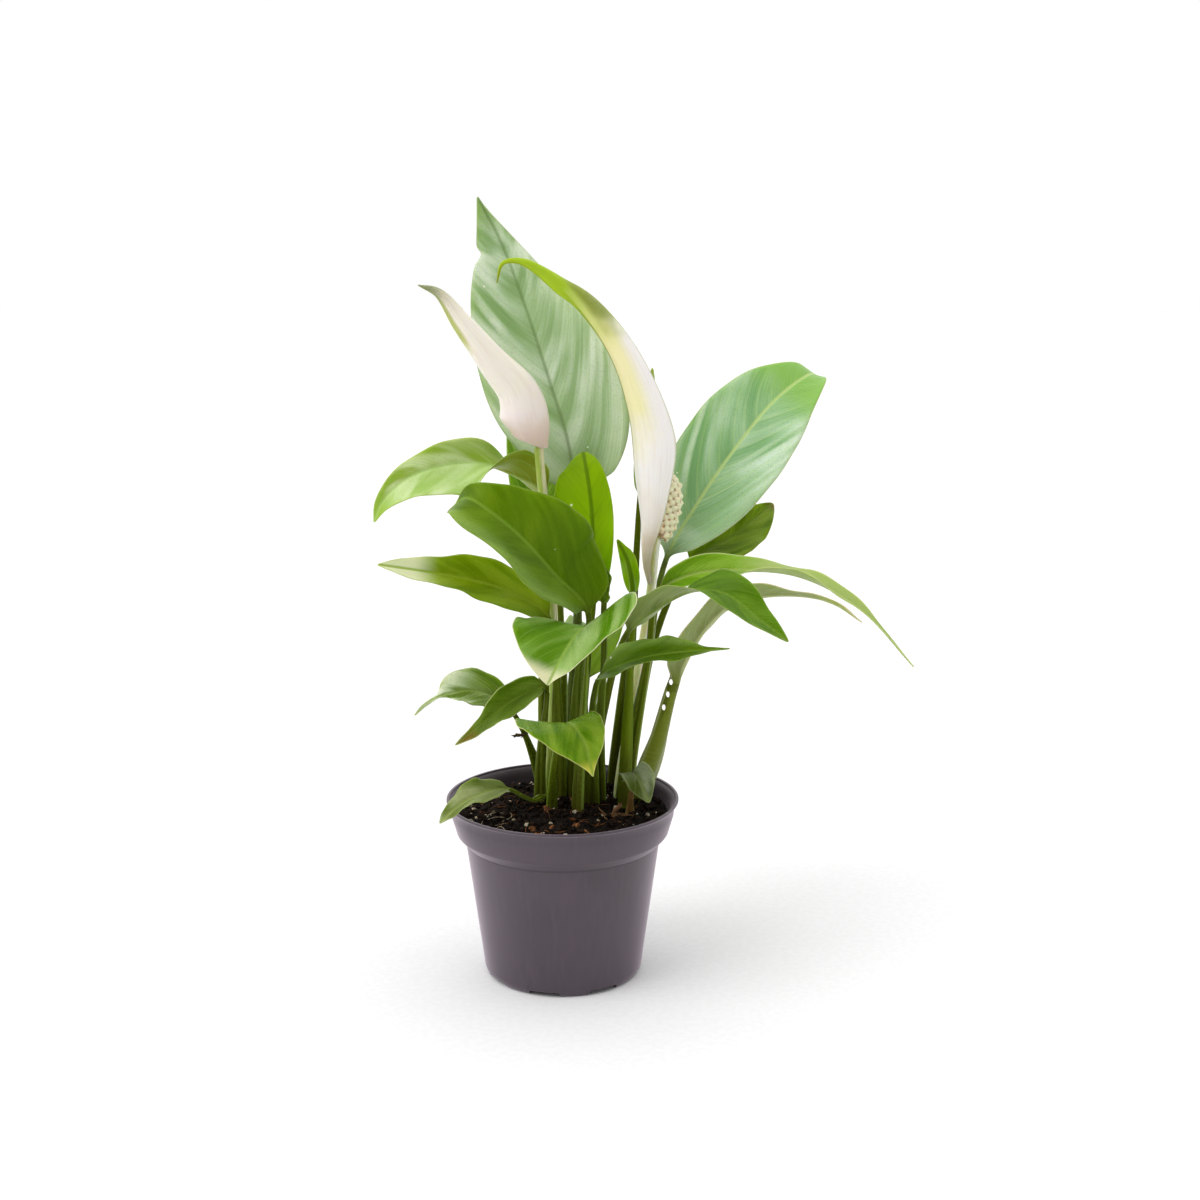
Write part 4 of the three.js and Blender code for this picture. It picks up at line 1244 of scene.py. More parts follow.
@dataclass(frozen=True, kw_only=True)
class Spathe(Sheet):
    """The bract round a spadix: it runs up its stalk, swells, and draws out to a long tip."""

    points: tuple[Point, ...]
    finish: Bract
    rounding: float = 0.8
    fold: float = 0.0
    wave: float = 0.6
    waves: float = 1.0
    gather: float = 0.001

    THICKNESS = 0.8
    EDGE_THICKNESS = 0.35
    ROW = 1.3
    STEPS = 18
    RIBS = 7

    def outline(self, shares: np.ndarray, side: int) -> np.ndarray:
        """Draws a half with a narrow foot, a swell and a long taper.

        Args:
            shares: Places along the bract, from 0 to 1.
            side: 0 for the left half, and 1 for the right one.

        Returns:
            The half width, as a share of the widest.
        """
        widest = self.widest[side]
        taper = (np.maximum(1 - shares, 0) / (1 - widest)) ** self.rounding
        return smooth(shares, 0, widest) * np.where(shares < widest, 1.0, taper)

    def half_width(self, shares: np.ndarray, side: int) -> np.ndarray:
        """Returns the half width in millimetres, gathered in round the stalk over the share gather."""
        return super().half_width(shares, side) * smooth(shares, -0.35 * self.gather, self.gather)

    def build(self, name: str) -> bpy.types.Object:
        """Builds the bract and dresses it.

        Args:
            name: The frame's node that it stands for.

        Returns:
            The bract.
        """
        route = Route(self.points)
        rows = int(route.length / self.ROW)
        shares = (1 - np.cos(np.pi * np.linspace(0.02, 1, rows + 1))) / 2
        q = places_across(np.linspace(0, 1, self.STEPS + 1)[1:])
        half = self.reach(shares, q)
        out = np.abs(q) * half
        left = (1 - shares)[:, None]
        rib = 0.5 * left * np.exp(-(out / 0.9) ** 2)
        ribbing = 0.07 * np.sin(2 * np.pi * q * self.RIBS) * (1 - q ** 4)
        thin = self.EDGE_THICKNESS + (self.THICKNESS - self.EDGE_THICKNESS) * (1 - q ** 4)
        thin = thin * smooth(half, -0.5, 3)
        rings = self.skin(self.middle(route, 0, shares, q), thin / 2 + ribbing, thin / 2 - ribbing + rib)
        row = np.broadcast_to(q * max(self.half_widths), out.shape)
        readings = {"along": both_sides(np.broadcast_to(shares[:, None], out.shape)),
                    "across": both_sides(np.broadcast_to(q, out.shape)),
                    "edge_mm": both_sides(half - out), "vein_mm": both_sides(row)}
        made = rolled_skin(name + "_fine", rings, readings)
        return show(made, self.finish, "spathe_cream", name)


@dataclass(frozen=True, kw_only=True)
class Spadix:
    """The flower spike: a blunt finger closely set with four-lobed florets that end in a blunt point.

    A floret is made in steps, each with how much narrower it is than the one below and how far up
    it goes. The spiral sets each floret a golden turn on from the last.
    """

    points: tuple[Point, ...]
    thickest: float
    floret: float = 2.6

    FULLEST = 0.35
    BLUNTNESS = 0.96
    TURN = 2.39996
    CORE = 0.76
    COLUMNS = 24
    FLORET_STEPS = ((1.0, 0.5), (0.8, 0.5), (0.62, 0.45), (0.6, 0.45))
    SMALLEST = 0.8
    SIZE_RANGE = 0.5
    SIZE_STEP = 0.618
    STEEPEST = 2.0
    NEAR = 0.02

    def radius(self, share: float | np.ndarray) -> float | np.ndarray:
        """Returns the spike's radius at a share of its length."""
        off = np.abs(share - self.FULLEST) / (1 - self.FULLEST)
        return self.thickest * np.sqrt(np.maximum(1 - (self.BLUNTNESS * off) ** 4, 0))

    def build(self, name: str) -> bpy.types.Object:
        """Builds the core, sets the florets on it in a spiral, and dresses it.

        Args:
            name: The frame's node that it stands for.

        Returns:
            The spike.
        """
        route = Route(self.points)
        shares = np.linspace(0, 1, 30)
        core_rings = tube_rings(route, self.radius(shares) * self.CORE, self.COLUMNS)
        core = rolled_skin(name + "_fine", core_rings, {"rise": np.zeros(self.COLUMNS)})
        floret = self._floret()
        total = self._number(route)
        copies = [self._set(floret, route, number, total) for number in range(total)]
        bpy.data.objects.remove(floret)
        joined = join(core, copies)
        return show(joined, FloretFinish(), "spadix_cream", name)

    def _number(self, route: Route) -> int:
        """Returns how many florets cover the spike."""
        return int(2 * np.pi * self.thickest * route.length / (0.86 * self.floret ** 2))

    def _floret(self) -> bpy.types.Object:
        """Models one floret: a four-lobed cushion that rises to a blunt point.

        Returns:
            The floret, which stands on the origin.
        """
        bpy.ops.object.select_all(action="DESELECT")
        radius = 0.56 * self.floret * MM
        bpy.ops.mesh.primitive_circle_add(vertices=8, radius=radius, location=(0, 0, -0.3 * MM))
        made = bpy.context.object
        with editing(made):
            for scale, climb in self.FLORET_STEPS:
                bpy.ops.mesh.extrude_region_move(TRANSFORM_OT_translate={"value": (0, 0, climb * MM)})
                bpy.ops.transform.resize(value=(scale, scale, 1), center_override=(0, 0, 0))
            bpy.ops.mesh.merge(type="CENTER")
        bpy.ops.object.transform_apply(location=True)
        places = places_of(made)
        lobe = 1 - 0.2 * np.cos(4 * np.arctan2(places[:, 1], places[:, 0]))
        places[:, :2] *= lobe[:, None]
        move_to(made, places)
        rise = made.data.attributes.new("rise", "FLOAT", "POINT")
        rise.data.foreach_set("value", (places[:, 2] / places[:, 2].max()).astype(np.float32))
        bpy.ops.object.shade_smooth()
        return made

    def _set(self, floret: bpy.types.Object, route: Route, number: int, total: int) -> bpy.types.Object:
        """Sets a copy of the floret in its place on the spike.

        Args:
            floret: The floret.
            route: The spike's middle line.
            number: Which floret of the spiral this is.
            total: How many there are.

        Returns:
            The copy.
        """
        share = (number + 0.5) / total
        origin, across, up = (v[0] for v in route.axes(np.array([share]), np.array([[0.0, -1.0, 0.0]])))
        forward = np.cross(up, across)
        turn = number * self.TURN
        onward, back = self.radius(min(share + self.NEAR, 1)), self.radius(max(share - self.NEAR, 0))
        slope = (onward - back) / (2 * self.NEAR * route.length)
        lean = max(min(slope, self.STEEPEST), -self.STEEPEST)
        out = unit(across * np.cos(turn) + up * np.sin(turn) - forward * lean)
        spot = origin + self.radius(share) * self.CORE * (across * np.cos(turn) + up * np.sin(turn))
        side = unit(np.cross(forward, out))
        basis = Matrix((side, np.cross(out, side), out)).transposed().to_4x4()
        size = self.SMALLEST + self.SIZE_RANGE * (number * self.SIZE_STEP % 1)
        return placed_copy(floret, Matrix.Translation(Vector(spot) * MM) @ basis @ Matrix.Scale(size, 4))


@dataclass(frozen=True, kw_only=True)
class Flower:
    """A flower: a round stalk, the spike on its end, and the bract round that."""

    name: str
    base: tuple[float, float]
    stalk: tuple[Point, ...]
    spadix: Spadix
    spathe: Spathe
    skin: Stem = Stem.FLOWER

    STALK_RADIUS = 2.2
    STALK_TOP_RADIUS = 1.7
    STALK_ROW = 3.5
    STALK_COLUMNS = 24
    STALK_RIDGES = 0.03

    def build(self) -> None:
        """Builds the three pieces and dresses them."""
        route = Route.from_soil(self.base, self.stalk)
        rows = int(route.length / self.STALK_ROW)
        radii = np.linspace(self.STALK_RADIUS, self.STALK_TOP_RADIUS, rows + 1)
        rings = tube_rings(route, radii, self.STALK_COLUMNS, self.STALK_RIDGES)
        across = np.cos(ring_turns(self.STALK_COLUMNS))
        stalk = rolled_skin(f"{self.name}_stalk_fine", rings, {"across": across})
        show(stalk, self.skin, "flower_stalk", f"{self.name}_stalk")
        self.spathe.build(f"{self.name}_spathe")
        self.spadix.build(f"{self.name}_spadix")


# ---------------------------------------------------------------- pot and peat
def turned(name: str, profile: list[tuple[float, float]], sides: int) -> bpy.types.Object:
    """Draws a circle along a profile, and closes both of its ends.

    Args:
        name: The object's name.
        profile: Radius and height of each step, from the first end to the last.
        sides: How many points the circle has.

    Returns:
        The object.
    """
    radius, height = profile[0]
    bpy.ops.object.select_all(action="DESELECT")
    bpy.ops.mesh.primitive_circle_add(vertices=sides, radius=radius * MM)
    made = bpy.context.object
    made.name = made.data.name = name
    with editing(made):
        bpy.ops.transform.translate(value=(0, 0, height * MM))
        for next_radius, next_height in profile[1:]:
            climb, scale = (next_height - height) * MM, next_radius / radius
            bpy.ops.mesh.extrude_region_move(TRANSFORM_OT_translate={"value": (0, 0, climb)})
            bpy.ops.transform.resize(value=(scale, scale, 1), center_override=(0, 0, 0))
            radius, height = next_radius, next_height
        bpy.ops.mesh.select_all(action="SELECT")
        bpy.ops.mesh.fill_holes(sides=0)
        bpy.ops.mesh.normals_make_consistent(inside=False)
    return made


@dataclass(frozen=True)
class Pot:
    """A thin moulded nursery pot: an open cone, a slanting step, a straight collar and a flared lip.

    foot_round is how wide and how tall the foot's round corner is, and notch how deep, wide and
    tall the block is that cuts each notch. slant gives the step's points, as shares of the way
    out and up from the top of the body to the foot of the collar and a little past it.
    """

    height: float = 70.0
    lip_radius: float = 45.0
    lip_height: float = 5.0
    lip_band: float = 0.8
    collar_top: float = 43.2
    collar_foot: float = COLLAR_FOOT_RADIUS
    collar_foot_height: float = 56.8
    step_foot_height: float = 52.3
    body_top: float = 37.7
    base_radius: float = 30.5
    foot_round: tuple[float, float] = (2.2, 4.5)
    step_rise: float = 1.0
    shoulder_steps: int = 9
    wall: float = 1.1
    floor: float = 1.4
    rest_disc: float = 15.5
    channel_rise: float = 1.6
    channel_slope: float = 1.2
    foot_ring: float = 2.6
    sides: int = 144
    holes: int = 8
    hole_radius: float = 2.6
    notches: int = 8
    notch: tuple[float, float, float] = (7.5, 12.0, 3.8)
    notch_turn: float = -58.0
    edge_round: float = 0.45
    disc_inset: float = 0.6
    slant: tuple[tuple[float, float], ...] = ((0, 0), (0.85, 0.95), (0.95, 1.1), (1.0, 1.3))

    def build(self) -> bpy.types.Object:
        """Builds the pot and dresses it.

        Returns:
            The pot.
        """
        shell = turned("pot_shell", self._profile(), self.sides)
        shaped_by(shell, "BEVEL", width=self.edge_round * MM, segments=3, limit_method="ANGLE",
                  angle_limit=np.radians(22))
        cutters = self._drills() + self._notch_cutters()
        cutter = join(cutters[0], cutters[1:])
        shaped_by(shell, "BOOLEAN", operation="DIFFERENCE", solver="EXACT", object=cutter)
        bpy.data.objects.remove(cutter)
        bpy.ops.object.shade_smooth_by_angle(angle=np.radians(32))
        return show(shell, PotFinish(), "pot_plastic", "pot")

    def _profile(self) -> list[tuple[float, float]]:
        """Draws half of the pot's section, up the outside and down the inside.

        Returns:
            Radius and height of each point, from the disc that it rests on to the floor.
        """
        ring = self.base_radius - self.foot_ring
        inner_floor = self.channel_rise + self.floor
        outside = [(self.rest_disc, 0), (self.rest_disc + self.channel_slope, self.channel_rise),
                   (ring - self.channel_slope, self.channel_rise), (ring, 0), *self._foot_corner(),
                   *self._shoulder(), *self._lip(0.0), (self.lip_radius, self.height)]
        inside = [(self.lip_radius - self.wall, self.height), *reversed(self._lip(self.wall)),
                  (self.collar_foot - self.wall, self.collar_foot_height),
                  (self.body_top - self.wall, self.step_foot_height),
                  (self.base_radius - self.wall, inner_floor),
                  (self.rest_disc + self.channel_slope - self.disc_inset, inner_floor),
                  (self.rest_disc - self.disc_inset, self.floor)]
        return outside + inside

    def _foot_corner(self) -> list[tuple[float, float]]:
        """Draws the round corner from the foot ring up to the body.

        Returns:
            Radius and height of each point, from the foot up.
        """
        wide, tall = self.foot_round
        body = self.base_radius + (self.body_top - self.base_radius) * tall / self.step_foot_height
        turns = np.radians(np.linspace(0, 90, self.shoulder_steps))
        return [(body - wide * (1 - np.sin(t)), tall * (1 - np.cos(t))) for t in turns]

    def _shoulder(self) -> list[tuple[float, float]]:
        """Draws the slanting step from the body out to the foot of the collar.

        Returns:
            Radius and height of each point, from the body up.
        """
        inner, low = self.body_top, self.step_foot_height + self.step_rise
        outer, high = self.collar_foot, self.collar_foot_height
        return [(inner + (outer - inner) * out, low + (high - low) * up) for out, up in self.slant]

    def _lip(self, inset: float) -> list[tuple[float, float]]:
        """Draws the hollow curve by which the collar flares out into the lip.

        Args:
            inset: How far it lies inside the outer skin.

        Returns:
            Radius and height of each point, from the collar up.
        """
        turns = np.radians(np.linspace(0, 90, self.shoulder_steps))
        start, foot = self.collar_top - inset, self.height - self.lip_band - self.lip_height
        out = self.lip_radius - self.collar_top
        return [(start + out * (1 - np.cos(t)), foot + self.lip_height * np.sin(t)) for t in turns]

    def _drills(self) -> list[bpy.types.Object]:
        """Sets a round cutter at each drain hole of the channel.

        Returns:
            The cutters.
        """
        made = []
        middle = (self.rest_disc + self.base_radius - self.foot_ring) / 2
        for number in range(self.holes):
            turn = 2 * np.pi * (number + 0.5) / self.holes
            place = (middle * np.cos(turn) * MM, middle * np.sin(turn) * MM, self.channel_rise * MM)
            bpy.ops.object.select_all(action="DESELECT")
            bpy.ops.mesh.primitive_cylinder_add(vertices=32, radius=self.hole_radius * MM, depth=6 * MM,
                                                location=place)
            made.append(bpy.context.object)
        return made

    def _notch_cutters(self) -> list[bpy.types.Object]:
        """Sets a rounded block at each notch of the foot ring.

        Returns:
            The cutters.
        """
        made = []
        for number in range(self.notches):
            turn = np.radians(self.notch_turn) + 2 * np.pi * number / self.notches
            place = (self.base_radius * np.cos(turn) * MM, self.base_radius * np.sin(turn) * MM, 0)
            bpy.ops.object.select_all(action="DESELECT")
            bpy.ops.mesh.primitive_cube_add(size=MM, location=place, rotation=(0, 0, turn), scale=self.notch)
            cutter = bpy.context.object
            bpy.ops.object.transform_apply(location=False, rotation=False)
            shaped_by(cutter, "BEVEL", width=0.5 * MM, segments=2)
            made.append(cutter)
        return made


@dataclass(frozen=True)
class Peat:
    """The mound of peat: the frame's own shape, roughened into crumbs and hollows.

    The cave is the dark hollow between the stems: it lies at cave_place, cave_reach is how far it
    goes out from there to the side and to the back, and cave_depth is how deep it is.
    """

    wall_gap: float = 1.2
    floor_height: float = 3.3
    shoulder_height: float = 61.5
    rings: int = 64
    sides: int = 168
    lump_size: float = 3.6
    hollow_size: float = 9.0
    hollow_depth: float = 1.3
    cave_place: tuple[float, float] = (-9.0, 0.5)
    cave_reach: tuple[float, float] = (7.0, 3.2)
    cave_depth: float = 4.0
    pot: Pot = Pot()

    def edge_radius(self) -> float:
        """Works out how wide the mound is at its shoulder.

        Returns:
            The radius, in millimetres.
        """
        pot = self.pot
        rise = (self.shoulder_height - pot.collar_foot_height) / (pot.height - pot.collar_foot_height)
        return pot.collar_foot + (pot.collar_top - pot.collar_foot) * rise - self.wall_gap

    def build(self) -> bpy.types.Object:
        """Builds the mound and dresses it.

        Returns:
            The mound.
        """
        mound = turned("peat_mound", self._profile(), self.sides)
        places = places_of(mound)
        top = places[:, 2] > SOIL_EDGE_HEIGHT - 0.5
        for i in np.flatnonzero(top):
            places[i, 2] = self._rough_height(*places[i, :2])
        move_to(mound, places)
        bpy.ops.object.shade_smooth()
        return show(mound, Grain.PEAT, "peat", "soil")

    def _profile(self) -> list[tuple[float, float]]:
        """Draws half of the filling's section, with a flat top.

        Returns:
            Radius and height of each point, from under the middle to the middle of the top.
        """
        pot, gap, edge = self.pot, self.wall_gap, self.edge_radius()
        wall = [(pot.rest_disc - 1, 1.7), (pot.rest_disc + 0.2, self.floor_height),
                (pot.base_radius - gap - 0.4, self.floor_height),
                (pot.body_top - gap - 0.4, pot.step_foot_height),
                (pot.collar_foot - gap - 0.2, pot.collar_foot_height), (edge, self.shoulder_height)]
        return wall + [(edge * (1 - ring / self.rings), SOIL_EDGE_HEIGHT) for ring in range(self.rings)]

    def _rough_height(self, x: float, y: float) -> float:
        """Works out the height of the rough top at a place.

        Args:
            x: How far right of the pot's middle it is.
            y: How far behind the pot's middle it is.

        Returns:
            The height over the floor, in millimetres.
        """
        lumps = noise.fractal(Vector((x / self.lump_size, y / self.lump_size, 2.0)), 0.9, 2.1, 4)
        hollow = noise.noise(Vector((x / self.hollow_size, y / self.hollow_size, 7.0)))
        off = (np.array((x, y)) - self.cave_place) / self.cave_reach
        cave = self.cave_depth * np.exp(-np.sum(off ** 2))
        return soil_height(x, y) + lumps + self.hollow_depth * min(hollow, 0) - cave


def strewn(random: np.random.Generator, spread: tuple[float, float, float]) -> tuple[float, float]:
    """Draws a place on a round patch of the peat.

    Args:
        random: Where its numbers come from.
        spread: The patch's middle and its radius.

    Returns:
        The place.
    """
    x, y, reach = spread
    turn, off = random.uniform(0, 2 * np.pi), reach * np.sqrt(random.uniform())
    return x + off * np.cos(turn), y + off * np.sin(turn)


def kept_within(x: float, y: float, reach: float) -> tuple[float, float]:
    """Returns the place, pulled in to the reach if it lies further out."""
    inward = min(1.0, reach / max(np.hypot(x, y), 1e-6))
    return x * inward, y * inward


@dataclass(frozen=True, kw_only=True)
class Litter:
    """Loose bits of one kind, strewn over the peat."""

    name: str
    finish: Grain
    count: int
    sizes: tuple[float, float]
    flat: float
    rough: float
    seed: int
    lift: float = 0.2
    spread: tuple[float, float, float] = (0.0, 0.0, 38.4)

    KINDS = 4
    REACH = 38.8
    TILT = 0.7

    def build(self) -> bpy.types.Object:
        """Models a few bits, strews copies of them, and dresses the lot.

        Returns:
            All the bits, joined.
        """
        random = np.random.default_rng(self.seed)
        models = [self._bit(kind) for kind in range(self.KINDS)]
        copies = [placed_copy(models[number % self.KINDS], self._place(random))
                  for number in range(self.count)]
        for model in models:
            bpy.data.objects.remove(model)
        lot = join(copies[0], copies[1:])
        lot.name = lot.data.name = self.name
        return show(lot, self.finish, "peat")

    def _bit(self, kind: int) -> bpy.types.Object:
        """Models one bit: a ball, flattened and knocked out of shape.

        Args:
            kind: Which of the bits it is.

        Returns:
            The bit, about 1 mm across.
        """
        bpy.ops.object.select_all(action="DESELECT")
        bpy.ops.mesh.primitive_uv_sphere_add(segments=8, ring_count=5, radius=0.5 * MM)
        made = bpy.context.object
        places = places_of(made)
        for i, place in enumerate(places):
            knock = noise.noise(Vector(place * 2.6) + Vector((9.0 * kind, self.seed, 0)))
            places[i] = place * (1 + self.rough * knock) * (1, 1, self.flat)
        move_to(made, places)
        bpy.ops.object.shade_smooth_by_angle(angle=np.radians(35))
        return made

    def _place(self, random: np.random.Generator) -> Matrix:
        """Draws a place, a size and a turn for a copy.

        Args:
            random: Where its numbers come from.

        Returns:
            The place, size and turn in one.
        """
        x, y = kept_within(*strewn(random, self.spread), self.REACH)
        low, high = self.sizes
        size = low + (high - low) * random.uniform() ** 2
        height = soil_height(x, y) + self.lift * size + random.uniform(-0.3, 0.4)
        tilts = [Matrix.Rotation(random.uniform(-self.TILT, self.TILT), 4, axis) for axis in "XY"]
        spin = Matrix.Rotation(random.uniform(0, 2 * np.pi), 4, "Z")
        long = Matrix.Diagonal((size * random.uniform(0.8, 1.5), size, size, 1))
        return Matrix.Translation(Vector((x, y, height)) * MM) @ tilts[0] @ tilts[1] @ spin @ long


@dataclass(frozen=True, kw_only=True)
class Threads:
    """Fine threads that lie curled over the peat."""

    name: str
    finish: Enum
    count: int
    lengths: tuple[float, float]
    radius: float
    curl: float
    seed: int
    lift: float = 0.5
    spread: tuple[float, float, float] = (0.0, 0.0, 36.0)

    REACH = 38.2
    STEPS = 4
    SIDES = 5
    TAPER = (0.6, 1, 1, 1, 1, 1, 0.9, 0.6, 0.3)

    def build(self) -> bpy.types.Object:
        """Lays out the threads, joins them and dresses them.

        Returns:
            All the threads, joined.
        """
        random = np.random.default_rng(self.seed)
        threads = [self._thread(random, number) for number in range(self.count)]
        lot = join(threads[0], threads[1:])
        lot.name = lot.data.name = self.name
        return show(lot, self.finish, "peat")

    def _thread(self, random: np.random.Generator, number: int) -> bpy.types.Object:
        """Makes one thread, which rises a little off the peat between its ends.

        Args:
            random: Where its numbers come from.
            number: Which of the threads it is.

        Returns:
            The thread.
        """
        x, y = strewn(random, self.spread)
        heading, length = random.uniform(0, 2 * np.pi), random.uniform(*self.lengths)
        bow, hump = random.uniform(-1, 1) * self.curl, random.uniform(0.2, 1.0)
        points = []
        for step in np.linspace(0, 1, self.STEPS + 1):
            x, y = kept_within(x, y, self.REACH)
            height = soil_height(x, y) + self.lift + hump * np.sin(np.pi * step) * length * 0.12
            points.append((x, y, height))
            x, y = x + np.cos(heading) * length / self.STEPS, y + np.sin(heading) * length / self.STEPS
            heading += bow
        route = Route(points)
        rings = tube_rings(route, self.radius * np.array(self.TAPER), self.SIDES)
        return rolled_skin(f"{self.name}_{number}", rings, {"across": np.zeros(self.SIDES)})


@dataclass(frozen=True)
class DryStub:
    """What is left of an old leaf: a short dry stem end with a torn rim."""

    base: tuple[float, float] = (20, -14)
    points: tuple[Point, ...] = ((21, -15, 70), (23, -17, 73))
    radius: float = 1.1
    tip_share: float = 0.6
    rows: int = 14
    columns: int = 20
    ridges: float = 0.08

    def build(self) -> bpy.types.Object:
        """Builds the stub and dresses it.

        Returns:
            The stub.
        """
        route = Route.from_soil(self.base, self.points)
        radii = self.radius * np.linspace(1, self.tip_share, self.rows)
        rings = tube_rings(route, radii, self.columns, self.ridges)
        turn = ring_turns(self.columns)
        torn = 0.5 * np.abs(np.sin(2.5 * turn + 0.4)) + 0.3 * np.sin(3 * turn)
        rings[-2, :, 2] += torn
        rings[-1] = rings[-3].mean(axis=0) + 0.3 * (rings[-3] - rings[-3].mean(axis=0))
        made = rolled_skin("dry_leaf_stub_fine", rings, {"across": np.cos(turn)})
        return show(made, Stem.DRY, "dry_stem", "dry_leaf_stub")


